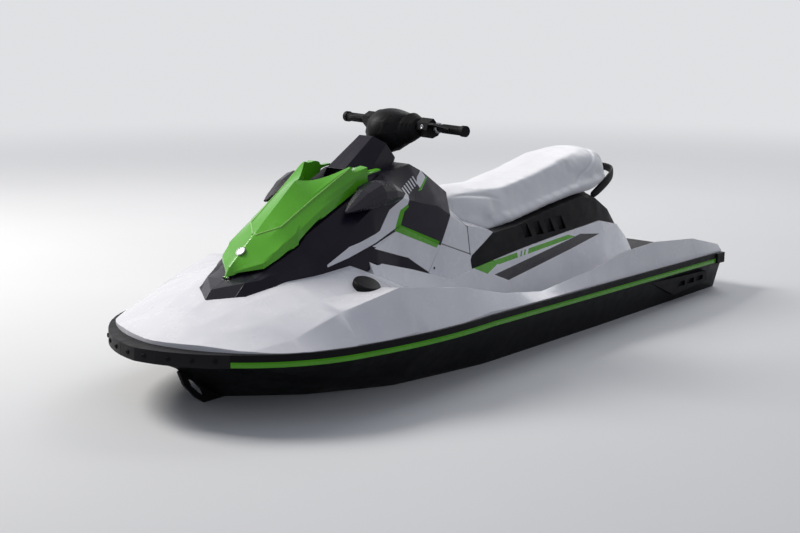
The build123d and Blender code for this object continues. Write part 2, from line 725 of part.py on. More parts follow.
with BuildPart() as hood:
    hood_sections = []
    inner_sections = []
    for x, centre_z, ridge_y, ridge_z, crease_y, crease_z, edge_y, edge_z in HOOD_TABLE:
        half = [(0, edge_z), (edge_y, edge_z + HOOD_LIFT), (crease_y, crease_z), (ridge_y, ridge_z), (0, centre_z)]
        hood_sections.append(section(x, half))
    loft(hood_sections, ruled=True)
    hood_block = hood.part
    extrude(hinge_circle(0, KNUCKLE_RADIUS), amount=KNUCKLE_HALF, both=True)
    with BuildSketch(level_plane(600)):
        with BuildLine():
            Polyline(*HORN_NOTCH, close=True)
        make_face()
    extrude(amount=500, mode=Mode.SUBTRACT)
    for x, centre_z, ridge_y, ridge_z, crease_y, crease_z, edge_y, edge_z in HOOD_TABLE[2:]:
        crease_in = max(crease_z - HOOD_WALL, edge_z + HOOD_LIFT + 1)
        half = [
            (0, edge_z - 40),
            (edge_y - HOOD_WALL - 1, edge_z - 38),
            (crease_y - HOOD_WALL, crease_in),
            (max(ridge_y - HOOD_WALL, 1), max(ridge_z - HOOD_WALL, crease_in + 1)),
            (0, max(centre_z - HOOD_WALL, crease_in + 2)),
        ]
        inner_sections.append(section(x, half))
    loft(inner_sections[:-3], ruled=True, mode=Mode.SUBTRACT)
    extrude(hinge_circle(0, HINGE_PIN_RADIUS + PIN_CLEARANCE), amount=KNUCKLE_HALF + 2, both=True, mode=Mode.SUBTRACT)
    for sign in (1, -1):
        ear_space = hinge_circle(sign * KNUCKLE_HALF, EAR_RADIUS + KNUCKLE_GAP)
        extrude(ear_space, amount=sign * (EAR_WIDTH + 2 * KNUCKLE_GAP), mode=Mode.SUBTRACT)
hood.part.label = "hood"
export_step(hood.part, "parts/hood.step")

with BuildPart() as cowl:
    cowl_sections = []
    for x, deck_y, deck_z, break_y, break_z, shelf_y, shelf_z, centre_z in COWL_TABLE:
        drop = SHELF_DROP if HOOD_TABLE[-1][0] <= x <= HOOD_TABLE[0][0] else 0
        shelf = [(shelf_y, shelf_z - drop), (0, centre_z - drop)]
        half = [(0, deck_z), (deck_y, deck_z), (break_y, break_z), *shelf]
        cowl_sections.append(section(x, half))
    loft(cowl_sections, ruled=True)

LEAN = math.radians(COLUMN_LEAN)
column_plane = Plane(
    origin=at(PIVOT_X, 0, PIVOT_Z),
    x_dir=(math.cos(LEAN), 0, math.sin(LEAN)),
    z_dir=(-math.sin(LEAN), 0, math.cos(LEAN)),
)
bar_plane = column_plane.rotated((0, 0, STEER_REST))


def bar_section_plane(v):
    """The plane across the handlebar at v, with sketch axes u and w."""
    origin = bar_plane.from_local_coords((0, v, 0))
    return Plane(origin=origin, x_dir=bar_plane.x_dir, z_dir=-bar_plane.y_dir)


def closed_outline(plane, points):
    """A closed outline of straight lines as a face on a plane."""
    with BuildSketch(plane) as outline:
        with BuildLine():
            Polyline(*points, close=True)
        make_face()
    return outline.sketch


with BuildPart() as neck:
    neck_sections = []
    for w, half in NECK_TABLE:
        other = [(u, -v) for u, v in reversed(half)]
        neck_sections.append(closed_outline(column_plane.offset(w), [*half, *other]))
    loft(neck_sections, ruled=True)
    with BuildSketch(column_plane.offset(STEM_W[0])):
        Circle(STEM_RADIUS + PIN_CLEARANCE)
    extrude(amount=STEM_W[1] - STEM_W[0], mode=Mode.SUBTRACT)

with BuildPart() as cowl_body:
    add(cowl.part)
    add(hood_block.moved(Location((0, 0, -MOVING_GAP))), mode=Mode.SUBTRACT)
    add(neck.part)
    add(deck.part, mode=Mode.SUBTRACT)
    add(pedestal.part, mode=Mode.SUBTRACT)
    add(bin_well.part, mode=Mode.SUBTRACT)
    ear_y = KNUCKLE_HALF + KNUCKLE_GAP
    extrude(hinge_circle(0, KNUCKLE_RADIUS + KNUCKLE_GAP), amount=ear_y, both=True, mode=Mode.SUBTRACT)
    extrude(hinge_circle(0, HINGE_PIN_RADIUS), amount=ear_y + EAR_WIDTH, both=True)
    for sign in (1, -1):
        extrude(hinge_circle(sign * ear_y, EAR_RADIUS), amount=sign * EAR_WIDTH)
        foot = Plane(origin=at(HINGE_X, sign * (ear_y + EAR_WIDTH / 2), HINGE_Z - EAR_DROP))
        with BuildSketch(foot):
            Rectangle(2 * EAR_RADIUS, EAR_WIDTH)
        extrude(amount=EAR_DROP)

with BuildPart() as nose_block:
    extrude(closed_outline(level_plane(500), NOSE_PLAN), amount=300)

with BuildPart() as nose_panel:
    add(cowl_body.part)
    add(nose_block.part, mode=Mode.INTERSECT)
nose_panel.part.label = "nose_panel"
export_step(nose_panel.part, "parts/nose_panel.step")

with BuildPart() as seat:
    seat_sections = []
    for x, bottom_y, bottom_z, side_y, side_z, top_y, top_z, centre_z in SEAT_TABLE:
        half = [(0, bottom_z), (bottom_y, bottom_z), (side_y, side_z), (top_y, top_z), (0, centre_z)]
        seat_sections.append(section(x, half))
    loft(seat_sections, ruled=True)
seat.part.label = "seat"
export_step(seat.part, "parts/seat.step")

with BuildPart() as base_block:
    base_sections = []
    for x, foot_y, foot_z, top_y, top_z in SEAT_BASE_TABLE:
        base_sections.append(section(x, [(0, foot_z), (foot_y, foot_z), (top_y, top_z), (0, top_z + 60)]))
    loft(base_sections, ruled=True)
    add(deck.part, mode=Mode.SUBTRACT)
    add(pedestal.part, mode=Mode.SUBTRACT)
    add(seat.part.moved(Location((0, 0, -SEAT_REST_GAP))), mode=Mode.SUBTRACT)
    add(engine_well.part, mode=Mode.SUBTRACT)

with BuildPart() as tongue_block:
    extrude(side_view(TONGUE_VIEW, -OUT), amount=-2 * OUT)

PANELS = [
    ("fairing_port", FAIRING_VIEW, (0, OUT)),
    ("fairing_starboard", FAIRING_VIEW, (-OUT, 0)),
    ("console", CONSOLE_VIEW, (-OUT, OUT)),
    ("side_cover_port", LOWER_COVER_VIEW, (0, OUT)),
    ("side_cover_starboard", LOWER_COVER_VIEW, (-OUT, 0)),
    ("front_cover_port", FRONT_COVER_VIEW, (0, OUT)),
    ("front_cover_starboard", FRONT_COVER_VIEW, (-OUT, 0)),
    ("cowl_foot", TRIM_VIEW, (-OUT, OUT)),
]
for name, outline, (low_y, high_y) in PANELS:
    with BuildPart() as panel:
        add(cowl_body.part)
        extrude(side_view(outline, low_y), amount=-(high_y - low_y), mode=Mode.INTERSECT)
        if outline is FAIRING_VIEW:
            add(nose_block.part, mode=Mode.SUBTRACT)
        if outline is FRONT_COVER_VIEW:
            tongue = (base_block.part & tongue_block.part) - cowl_body.part
            side = extrude(side_view(TONGUE_VIEW, low_y), amount=-(high_y - low_y), mode=Mode.PRIVATE)
            add(tongue & side)
    panel.part.label = name
    export_step(panel.part, f"parts/{name}.step")

with BuildPart() as seat_base:
    add(base_block.part)
    add(tongue_block.part, mode=Mode.SUBTRACT)
    add(cowl_body.part, mode=Mode.SUBTRACT)
    for sign in (1, -1):
        for x in VENT_X:
            low_z, high_z = VENT_Z
            vent = [(x, low_z), (x + VENT_WIDTH, low_z), (x + VENT_WIDTH + VENT_LEAN, high_z), (x + VENT_LEAN, high_z)]
            extrude(side_view(vent, sign * VENT_HALF), amount=-sign * OUT, mode=Mode.SUBTRACT)
seat_base.part.label = "seat_base"
export_step(seat_base.part, "parts/seat_base.step")

with BuildPart() as grab_handle:
    port_half = [at(*point) for point in HANDLE_PATH]
    starboard_half = [(x, -y, z) for x, y, z in reversed(port_half)]
    with BuildLine() as handle_line:
        Polyline(*port_half, *starboard_half)
    start = handle_line.line @ 0
    with BuildSketch(Plane(origin=start, z_dir=handle_line.line % 0)):
        Circle(HANDLE_RADIUS)
    sweep(path=handle_line.line, transition=Transition.ROUND)
    add(seat_base.part, mode=Mode.SUBTRACT)
    add(seat.part.moved(Location((0, 0, -SEAT_REST_GAP))), mode=Mode.SUBTRACT)
grab_handle.part.label = "grab_handle"
export_step(grab_handle.part, "parts/grab_handle.step")

with BuildPart() as cover_block:
    cover_sections = []
    for v, centre_u, centre_w, half_u, half_w in COVER_TABLE:
        outline = [(centre_u + u * half_u, centre_w + w * half_w) for u, w in COVER_SHAPE]
        cover_sections.append(closed_outline(bar_section_plane(v), outline))
    loft(cover_sections, ruled=True)
    with BuildSketch(column_plane.offset(STEM_W[0] + 2)):
        Circle(STEM_RADIUS)
    extrude(amount=STEM_W[1] - STEM_W[0])


def bar_place(u, v, w):
    """A place in the handlebar's own frame, in the model frame."""
    return bar_plane.from_local_coords((u, v, w))


def along_bar(low_v, high_v, u, w, radius):
    """A round bar along the handlebar's grip, between two places."""
    plane = Plane(origin=bar_place(u, low_v, w), z_dir=bar_place(u, high_v, w) - bar_place(u, low_v, w))
    with BuildSketch(plane) as disc:
        Circle(radius)
    return extrude(disc.sketch, amount=abs(high_v - low_v), mode=Mode.PRIVATE)


with BuildPart() as handlebar:
    port_points = [bar_place(u, v, w) for u, v, w in reversed(BAR_PATH)]
    starboard_points = [bar_place(u, -v, w) for u, v, w in BAR_PATH]
    with BuildLine() as bar_line:
        Polyline(*port_points, *starboard_points)
    with BuildSketch(Plane(origin=bar_line.line @ 0, z_dir=bar_line.line % 0)):
        Circle(BAR_RADIUS)
    sweep(path=bar_line.line, transition=Transition.ROUND)
handlebar.part.label = "handlebar"
export_step(handlebar.part, "parts/handlebar.step")

with BuildPart() as handlebar_cover:
    add(cover_block.part)
    add(handlebar.part, mode=Mode.SUBTRACT)
handlebar_cover.part.label = "handlebar_cover"
export_step(handlebar_cover.part, "parts/handlebar_cover.step")

GRIP_U = BAR_PATH[-1][0]
GRIP_W = BAR_PATH[-1][2]
for name, sign in SIDES:
    with BuildPart() as grip:
        add(along_bar(sign * GRIP_V[0], sign * GRIP_V[1], GRIP_U, GRIP_W, GRIP_RADIUS))
        add(along_bar(sign * KNOB_V[0], sign * KNOB_V[1], GRIP_U, GRIP_W, KNOB_RADIUS))
        add(handlebar.part, mode=Mode.SUBTRACT)
    grip.part.label = f"grip_{name}"
    export_step(grip.part, f"parts/grip_{name}.step")

    with BuildPart() as switch:
        u_half, w_half = SWITCH_HALF
        centre_u = GRIP_U + 8
        centre_w = GRIP_W - 14
        box = [
            (centre_u - u_half, centre_w),
            (centre_u - u_half + 12, centre_w - w_half),
            (centre_u + u_half - 16, centre_w - w_half),
            (centre_u + u_half, centre_w - 4),
            (centre_u + u_half - 8, centre_w + w_half),
            (centre_u - u_half + 8, centre_w + w_half),
        ]
        amount = -sign * (SWITCH_V[1] - SWITCH_V[0])
        extrude(closed_outline(bar_section_plane(sign * SWITCH_V[0]), box), amount=amount)
        add(handlebar.part, mode=Mode.SUBTRACT)
    switch.part.label = f"switch_housing_{name}"
    export_step(switch.part, f"parts/switch_housing_{name}.step")

    with BuildPart() as lever:
        pivot = (GRIP_U + 30, GRIP_W - 18)
        lever_points = [
            (pivot[0] - 4, sign * (SWITCH_V[1] + 1)),
            (pivot[0] + 12, sign * (SWITCH_V[1] + 1)),
            (pivot[0] + 14, sign * (SWITCH_V[1] + 30)),
            (pivot[0] - 2, sign * (SWITCH_V[1] + 110)),
            (pivot[0] - 10, sign * (SWITCH_V[1] + 108)),
            (pivot[0] + 1, sign * (SWITCH_V[1] + 32)),
        ]
        extrude(closed_outline(bar_plane.offset(GRIP_W - 24), lever_points), amount=10)
    lever_name = "reverse_lever" if sign > 0 else "throttle_lever"
    lever.part.label = lever_name
    export_step(lever.part, f"parts/{lever_name}.step")


def mirror_outline(sign, row, share=1.0):
    """The mirror's outline at a row of its table, shrunk about its middle by a share."""
    x, inner_y, outer_y, low_z, high_z = row
    points = []
    for y_share, z_share in MIRROR_SHAPE:
        y = inner_y + (outer_y - inner_y) * (0.5 + share * (y_share - 0.5))
        z = low_z + (high_z - low_z) * (0.5 + share * (z_share - 0.5))
        points.append((sign * y, z))
    return closed_outline(station(x), points)


for name, sign in SIDES:
    with BuildPart() as mirror_pod:
        loft([mirror_outline(sign, row) for row in MIRROR_TABLE], ruled=True)
        glass = mirror_outline(sign, MIRROR_TABLE[-1], GLASS_SHARE)
        extrude(glass, amount=GLASS_THICKNESS, mode=Mode.SUBTRACT)
        add(cowl_body.part, mode=Mode.SUBTRACT)
    mirror_pod.part.label = f"mirror_{name}"
    export_step(mirror_pod.part, f"parts/mirror_{name}.step")
    with BuildPart() as mirror_glass:
        extrude(glass, amount=GLASS_THICKNESS)
        add(cowl_body.part, mode=Mode.SUBTRACT)
    mirror_glass.part.label = f"mirror_glass_{name}"
    export_step(mirror_glass.part, f"parts/mirror_glass_{name}.step")

    with BuildPart() as sponson:
        extrude(side_view(SPONSON_VIEW, sign * SPONSON_OUTER), amount=sign * (SPONSON_OUTER - SPONSON_INNER))
        with BuildSketch(profile_plane(sign * SPONSON_OUTER)):
            with Locations(*((x, POCKET_Z) for x in POCKET_X)):
                RectangleRounded(*POCKET_SIZE, 4)
        extrude(amount=sign * POCKET_DEPTH, mode=Mode.SUBTRACT)
        add(hull.part, mode=Mode.SUBTRACT)
    sponson.part.label = f"sponson_{name}"
    export_step(sponson.part, f"parts/sponson_{name}.step")

with BuildPart() as fuel_cap:
    tilt = math.radians(CAP_TILT)
    cap_plane = Plane(origin=at(*CAP_CENTRE), x_dir=(1, 0, 0), z_dir=(0, math.sin(tilt), math.cos(tilt)))
    with BuildSketch(cap_plane.offset(-CAP_DEPTH)):
        Circle(CAP_RADIUS)
    extrude(amount=CAP_DEPTH + CAP_HEIGHT)
    fillet(fuel_cap.faces().sort_by(Axis.Z)[-1].edges(), CAP_ROUND)
    add(deck.part, mode=Mode.SUBTRACT)
fuel_cap.part.label = "fuel_cap"
export_step(fuel_cap.part, "parts/fuel_cap.step")

MATS = [
    ("footwell_mat_port", FOOTWELL_MAT, 1),
    ("footwell_mat_starboard", FOOTWELL_MAT, -1),
    ("ramp_mat_port", RAMP_MAT, 1),
    ("ramp_mat_starboard", RAMP_MAT, -1),
    ("platform_mat", PLATFORM_MAT, 1),
]
for name, outline, sign in MATS:
    with BuildPart() as mat:
        extrude(closed_outline(level_plane(300), [(x, sign * y) for x, y in outline]), amount=400)
        add(deck.part.moved(Location((0, 0, MAT_THICKNESS))), mode=Mode.INTERSECT)
        add(deck.part, mode=Mode.SUBTRACT)
    mat.part.label = name
    export_step(mat.part, f"parts/{name}.step")


def round_bar(x, radius, length, z=PUMP_AXIS_Z):
    """A round bar along X from a station, on the pump's axis."""
    with BuildSketch(station(x)) as disc:
        with Locations((0, z)):
            Circle(radius)
    return extrude(disc.sketch, amount=length, mode=Mode.PRIVATE)


def taper(sections):
    """A round body along X on the pump's axis, through stations and radii."""
    discs = []
    for x, radius in sections:
        with BuildSketch(station(x)) as disc:
            with Locations((0, PUMP_AXIS_Z)):
                Circle(radius)
        discs.append(disc.sketch)
    return loft(discs, ruled=True, mode=Mode.PRIVATE)


with BuildPart() as pump_housing:
    add(round_bar(TUNNEL_CHAMBER_X, PUMP_RADIUS, PUMP_END_X - TUNNEL_CHAMBER_X))
    add(round_bar(PUMP_OUTLET_X, PUMP_OUTLET_RADIUS, PUMP_CONE_X - PUMP_OUTLET_X))
    add(taper([(PUMP_CONE_X, PUMP_OUTLET_RADIUS), (TUNNEL_CHAMBER_X, PUMP_RADIUS)]))
    add(round_bar(TUNNEL_CHAMBER_X - PUMP_FLANGE, PUMP_FLANGE_RADIUS, PUMP_FLANGE))
    lug_z = PUMP_AXIS_Z + NOZZLE_RADIUS + NOZZLE_LUG_GAP
    lug_length = TUNNEL_CHAMBER_X - NOZZLE_PIVOT_X
    for low_z in (lug_z, 2 * PUMP_AXIS_Z - lug_z - LUG_THICKNESS):
        with BuildSketch(level_plane(low_z)):
            with Locations((NOZZLE_PIVOT_X + lug_length / 2, 0)):
                Rectangle(lug_length, 2 * LUG_HALF)
            with Locations((NOZZLE_PIVOT_X, 0)):
                Circle(LUG_HALF)
        extrude(amount=LUG_THICKNESS)
    add(round_bar(TUNNEL_CHAMBER_X + PUMP_FLANGE, PUMP_BORE, PUMP_END_X), mode=Mode.SUBTRACT)
    add(round_bar(PUMP_OUTLET_X, PUMP_OUTLET_BORE, PUMP_CONE_X - PUMP_OUTLET_X), mode=Mode.SUBTRACT)
    bore_cone = taper([(PUMP_CONE_X, PUMP_OUTLET_BORE), (TUNNEL_CHAMBER_X + PUMP_FLANGE, PUMP_BORE)])
    add(bore_cone, mode=Mode.SUBTRACT)
    vane_length = IMPELLER_X[0] - 2 * MOVING_GAP - TUNNEL_CHAMBER_X - PUMP_FLANGE
    with BuildSketch(station(TUNNEL_CHAMBER_X + PUMP_FLANGE)):
        with Locations((0, PUMP_AXIS_Z)):
            Circle(HUB_RADIUS)
            with PolarLocations(0, VANE_COUNT):
                Rectangle(PUMP_BORE + 2, VANE_THICKNESS, align=(Align.MIN, Align.CENTER))
    extrude(amount=vane_length)
    with BuildSketch(level_plane(0)):
        with Locations((NOZZLE_PIVOT_X, 0)):
            Circle(NOZZLE_PIN_RADIUS + PIN_CLEARANCE)
    extrude(amount=400, mode=Mode.SUBTRACT)
pump_housing.part.label = "pump_housing"
export_step(pump_housing.part, "parts/pump_housing.step")

with BuildPart() as impeller:
    add(round_bar(IMPELLER_X[0], HUB_RADIUS, IMPELLER_X[1] - IMPELLER_X[0]))
    add(round_bar(IMPELLER_X[1], SHAFT_RADIUS, SHAFT_END_X - IMPELLER_X[1]))
    for blade in range(BLADE_COUNT):
        blade_sections = []
        for step in range(BLADE_STEPS + 1):
            share = step / BLADE_STEPS
            x = IMPELLER_X[0] + 5 + share * (IMPELLER_X[1] - IMPELLER_X[0] - 10)
            angle = 360 / BLADE_COUNT * blade + BLADE_SWEEP * share
            with BuildSketch(station(x)) as blade_face:
                with Locations(Location((0, PUMP_AXIS_Z, 0), (0, 0, angle))):
                    Rectangle(IMPELLER_RADIUS, BLADE_THICKNESS, align=(Align.MIN, Align.CENTER))
            blade_sections.append(blade_face.sketch)
        loft(blade_sections, ruled=True)
impeller.part.label = "impeller"
export_step(impeller.part, "parts/impeller.step")

with BuildPart() as steering_nozzle:
    low_x, high_x = NOZZLE_X
    add(taper([(low_x, NOZZLE_EXIT_RADIUS), (high_x, NOZZLE_RADIUS)]))
    pin_height = 2 * (NOZZLE_RADIUS + NOZZLE_LUG_GAP + LUG_THICKNESS)
    with BuildSketch(level_plane(PUMP_AXIS_Z - pin_height / 2)):
        with Locations((NOZZLE_PIVOT_X, 0)):
            Circle(NOZZLE_PIN_RADIUS)
    extrude(amount=pin_height)
    with BuildSketch(profile_plane(BUCKET_ARM_Y + BUCKET_ARM + 2)):
        with Locations((BUCKET_PIVOT_X, PUMP_AXIS_Z)):
            Circle(BUCKET_PIN_RADIUS)
    extrude(amount=2 * (BUCKET_ARM_Y + BUCKET_ARM + 2))
    inner = taper([(low_x, NOZZLE_EXIT_RADIUS - NOZZLE_WALL), (high_x, NOZZLE_RADIUS - NOZZLE_WALL)])
    add(inner, mode=Mode.SUBTRACT)
    nozzle_upright = steering_nozzle.part

with BuildPart() as reverse_bucket:
    with BuildSketch(profile_plane(BUCKET_ARM_Y + BUCKET_ARM)):
        with BuildLine():
            bucket_arc = CenterArc(BUCKET_CENTRE, BUCKET_RADIUS + BUCKET_WALL, BUCKET_START, BUCKET_SWEEP)
            Line(bucket_arc @ 1, BUCKET_CENTRE)
            Line(BUCKET_CENTRE, bucket_arc @ 0)
        make_face()
        with Locations(BUCKET_CENTRE):
            Circle(BUCKET_BOSS_RADIUS)
    extrude(amount=2 * (BUCKET_ARM_Y + BUCKET_ARM))
    with BuildSketch(profile_plane(BUCKET_ARM_Y)):
        with Locations(BUCKET_CENTRE):
            Circle(BUCKET_RADIUS)
    extrude(amount=2 * BUCKET_ARM_Y, mode=Mode.SUBTRACT)
    with BuildSketch(profile_plane(BUCKET_ARM_Y + BUCKET_ARM)):
        with Locations(BUCKET_CENTRE):
            Circle(BUCKET_PIN_RADIUS + PIN_CLEARANCE)
    extrude(amount=2 * (BUCKET_ARM_Y + BUCKET_ARM), mode=Mode.SUBTRACT)
    bucket_upright = reverse_bucket.part

nozzle_axis = Axis(at(NOZZLE_PIVOT_X, 0, 0), (0, 0, 1))
nozzle_rest = -NOZZLE_RATIO * STEER_REST
for name, body in (("steering_nozzle", nozzle_upright), ("reverse_bucket", bucket_upright)):
    turned = body.rotate(nozzle_axis, nozzle_rest)
    turned.label = name
    export_step(turned, f"parts/{name}.step")

with BuildPart() as ride_plate:
    with BuildSketch(level_plane(RIDE_PLATE_Z[0])):
        with Locations((sum(RIDE_PLATE_X) / 2, 0)):
            Rectangle(RIDE_PLATE_X[1] - RIDE_PLATE_X[0], 2 * TUNNEL_RADIUS)
            with GridLocations(*RIDE_PLATE_BOLTS, 2, 2):
                Circle(RIDE_PLATE_HOLE, mode=Mode.SUBTRACT)
    extrude(amount=RIDE_PLATE_Z[1] - RIDE_PLATE_Z[0])
    with BuildSketch(level_plane(RIDE_PLATE_Z[0])):
        with Locations(*((sum(PLATE_LIP_X) / 2, sign * (TUNNEL_RADIUS - PLATE_LIP / 2)) for sign in (1, -1))):
            Rectangle(PLATE_LIP_X[1] - PLATE_LIP_X[0], PLATE_LIP)
    extrude(amount=PLATE_LIP_TOP - RIDE_PLATE_Z[0])
ride_plate.part.label = "ride_plate"
export_step(ride_plate.part, "parts/ride_plate.step")

with BuildPart() as intake_grate:
    middle = sum(GRATE_X) / 2
    length = GRATE_X[1] - GRATE_X[0]
    with BuildSketch(level_plane(GRATE_Z[0])):
        for y in (*GRATE_BARS, *(sign * (INTAKE_HALF - GRATE_BAR_WIDTH / 2) for sign in (1, -1))):
            with Locations((middle, y)):
                Rectangle(length, GRATE_BAR_WIDTH)
        for x in (GRATE_X[0] + GRATE_BAR_WIDTH, GRATE_X[1] - GRATE_BAR_WIDTH):
            with Locations((x, 0)):
                Rectangle(2 * GRATE_BAR_WIDTH, 2 * INTAKE_HALF)
    extrude(amount=GRATE_Z[1] - GRATE_Z[0])
intake_grate.part.label = "intake_grate"
export_step(intake_grate.part, "parts/intake_grate.step")
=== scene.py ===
import bpy
import bmesh
import json
import math
from mathutils import Matrix, Vector
from mathutils.bvhtree import BVHTree

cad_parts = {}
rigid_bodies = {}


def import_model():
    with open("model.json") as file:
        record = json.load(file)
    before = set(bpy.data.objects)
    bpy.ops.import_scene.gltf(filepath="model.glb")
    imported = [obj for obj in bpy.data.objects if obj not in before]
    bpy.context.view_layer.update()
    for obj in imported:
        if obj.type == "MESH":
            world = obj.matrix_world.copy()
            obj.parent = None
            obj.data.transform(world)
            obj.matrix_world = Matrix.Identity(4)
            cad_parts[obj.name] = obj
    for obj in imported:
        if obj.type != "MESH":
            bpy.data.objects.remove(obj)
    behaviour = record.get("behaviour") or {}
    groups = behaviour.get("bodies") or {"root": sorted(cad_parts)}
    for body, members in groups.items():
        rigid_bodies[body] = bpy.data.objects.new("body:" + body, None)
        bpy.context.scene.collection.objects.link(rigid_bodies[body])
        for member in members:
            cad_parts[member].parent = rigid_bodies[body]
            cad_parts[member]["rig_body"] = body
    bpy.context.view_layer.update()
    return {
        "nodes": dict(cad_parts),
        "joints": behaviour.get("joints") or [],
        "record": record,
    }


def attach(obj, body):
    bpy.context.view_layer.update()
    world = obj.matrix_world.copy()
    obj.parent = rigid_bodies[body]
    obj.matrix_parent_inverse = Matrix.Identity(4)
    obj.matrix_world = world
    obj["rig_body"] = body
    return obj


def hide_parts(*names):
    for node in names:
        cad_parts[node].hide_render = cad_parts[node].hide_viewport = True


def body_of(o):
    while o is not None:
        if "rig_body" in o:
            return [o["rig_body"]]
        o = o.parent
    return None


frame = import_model()
nodes = frame["nodes"]

# Places are given from the transom and the keel in millimetres, as in the part's source
MIDSHIP = 1570
DRAFT = 220
SIDES = (("port", 1), ("starboard", -1))


def at(x, y, z):
    """Turns a place from the transom and the keel in millimetres into the shared frame in metres."""
    return Vector(((x - MIDSHIP) / 1000, y / 1000, (z - DRAFT) / 1000))


def both(name):
    """A node's names on the two sides."""
    return [f"{name}_{side}" for side, _ in SIDES]


def add_object(name, data):
    """A new object, linked to the scene."""
    made = bpy.data.objects.new(name, data)
    bpy.context.scene.collection.objects.link(made)
    return made


# Camera at the photograph's viewing angle

CAMERA_PLACE = Vector((4.581, 3.689, 1.483))
CAMERA_BACK = Vector((0.7487, 0.6320, 0.2002))
CAMERA_LENS = 66.1
SENSOR_WIDTH = 36
CLIP_NEAR = 0.1
CLIP_FAR = 200

camera_data = bpy.data.cameras.new("camera")
camera_data.lens = CAMERA_LENS
camera_data.sensor_width = SENSOR_WIDTH
camera_data.clip_start = CLIP_NEAR
camera_data.clip_end = CLIP_FAR
camera = add_object("camera", camera_data)
camera.location = CAMERA_PLACE
camera.rotation_mode = "QUATERNION"
camera.rotation_quaternion = (-CAMERA_BACK).to_track_quat("-Z", "Y")
bpy.context.scene.camera = camera
bpy.context.scene.view_settings.view_transform = "Standard"


# Shader nodes

class Shader:
    """A procedural material with short calls for its nodes; a tone is a colour with its shade."""

    def __init__(self, name):
        self.material = bpy.data.materials.new(name)
        self.material.use_nodes = True
        self.tree = self.material.node_tree
        self.surface = self.tree.nodes["Principled BSDF"]
        self.place = self.node("ShaderNodeTexCoord").outputs["Object"]

    def node(self, kind, **settings):
        made = self.tree.nodes.new(kind)
        for key, value in settings.items():
            setattr(made, key, value)
        return made

    def link(self, source, target):
        self.tree.links.new(source, target)

    def set(self, **values):
        """Inputs of the surface, with _ for the spaces in their names."""
        for key, value in values.items():
            self.surface.inputs[key.replace("_", " ")].default_value = value

    def colour(self, source):
        self.link(source, self.surface.inputs["Base Color"])

    def rough(self, source):
        self.link(source, self.surface.inputs["Roughness"])

    def noise(self, scale, detail, rough=0.5):
        made = self.node("ShaderNodeTexNoise")
        made.inputs["Scale"].default_value = scale
        made.inputs["Detail"].default_value = detail
        made.inputs["Roughness"].default_value = rough
        self.link(self.place, made.inputs["Vector"])
        return made.outputs["Fac"]

    def cells(self, scale):
        """The distance to the nearest of many scattered points."""
        made = self.node("ShaderNodeTexVoronoi")
        made.inputs["Scale"].default_value = scale
        self.link(self.place, made.inputs["Vector"])
        return made.outputs["Distance"]

    def ramp(self, source, stops):
        """Values or colours at positions from 0 to 1 of the source."""
        made = self.node("ShaderNodeValToRGB")
        ramp = made.color_ramp
        while len(ramp.elements) < len(stops):
            ramp.elements.new(0.5)
        for element, (position, value) in zip(ramp.elements, stops):
            element.position = position
            colour = value if isinstance(value, tuple) else (value,) * 3
            element.color = (*colour, 1)
        self.link(source, made.inputs["Fac"])
        return made.outputs["Color"]

    def math(self, operation, first, second):
        made = self.node("ShaderNodeMath", operation=operation)
        for socket, value in zip(made.inputs, (first, second)):
            if isinstance(value, (int, float)):
                socket.default_value = value
            else:
                self.link(value, socket)
        return made.outputs["Value"]

    def along(self, direction):
        """How far the surface lies along a direction, in metres."""
        made = self.node("ShaderNodeVectorMath", operation="DOT_PRODUCT")
        made.inputs[1].default_value = direction
        self.link(self.place, made.inputs[0])
        return made.outputs["Value"]

    def beyond(self, first, second):
        """1 on one side of the line through two places given as (x, z) seen from the side."""
        low, high = at(first[0], 0, first[1]), at(second[0], 0, second[1])
        step = high - low
        normal = Vector((-step.z, 0, step.x)).normalized()
        return self.math("GREATER_THAN", self.along(normal), normal.dot(low))

    def region(self, corners):
        """1 inside a convex outline of (x, z) corners seen from the side."""
        pairs = list(zip(corners, [*corners[1:], corners[0]]))
        area = sum(a[0] * b[1] - b[0] * a[1] for a, b in pairs)
        if area < 0:
            pairs = [(b, a) for a, b in pairs]
        mask = self.beyond(*pairs[0])
        for pair in pairs[1:]:
            mask = self.math("MULTIPLY", mask, self.beyond(*pair))
        return mask

    def regions(self, outlines):
        """1 inside any of several convex outlines."""
        mask = self.region(outlines[0])
        for outline in outlines[1:]:
            mask = self.math("MAXIMUM", mask, self.region(outline))
        return mask

    def mix(self, mask, under, over):
        """Colour over where the mask is 1, and under elsewhere."""
        made = self.node("ShaderNodeMix", data_type="RGBA")
        self.link(mask, made.inputs["Factor"])
        for socket, value in ((made.inputs[6], under), (made.inputs[7], over)):
            if isinstance(value, tuple):
                socket.default_value = (*value, 1)
            else:
                self.link(value, socket)
        return made.outputs[2]

    def mottled(self, tone, scale=6):
        """A tone's colour with soft patches of its shade."""
        colour, shade = tone
        return self.ramp(self.noise(scale, detail=4), [(0.3, shade), (0.62, colour)])

    def with_decals(self, paint, decals):
        """The paint, covered by a tone inside the outlines of each decal."""
        for outlines, tone in decals:
            paint = self.mix(self.regions(outlines), paint, self.mottled(tone))
        return paint

    def bump(self, source, strength, depth):
        """Relief of a depth in metres, on top of the relief that is there."""
        made = self.node("ShaderNodeBump")
        made.inputs["Strength"].default_value = strength
        made.inputs["Distance"].default_value = depth
        self.link(source, made.inputs["Height"])
        normal = self.surface.inputs["Normal"]
        if normal.is_linked:
            self.link(normal.links[0].from_socket, made.inputs["Normal"])
        self.link(made.outputs["Normal"], normal)

    def soft_edges(self, radius):
        """Edges catch the light as if rounded to a radius in metres."""
        made = self.node("ShaderNodeBevel", samples=4)
        made.inputs["Radius"].default_value = radius
        self.link(made.outputs["Normal"], self.surface.inputs["Normal"])


# Kinds of surface

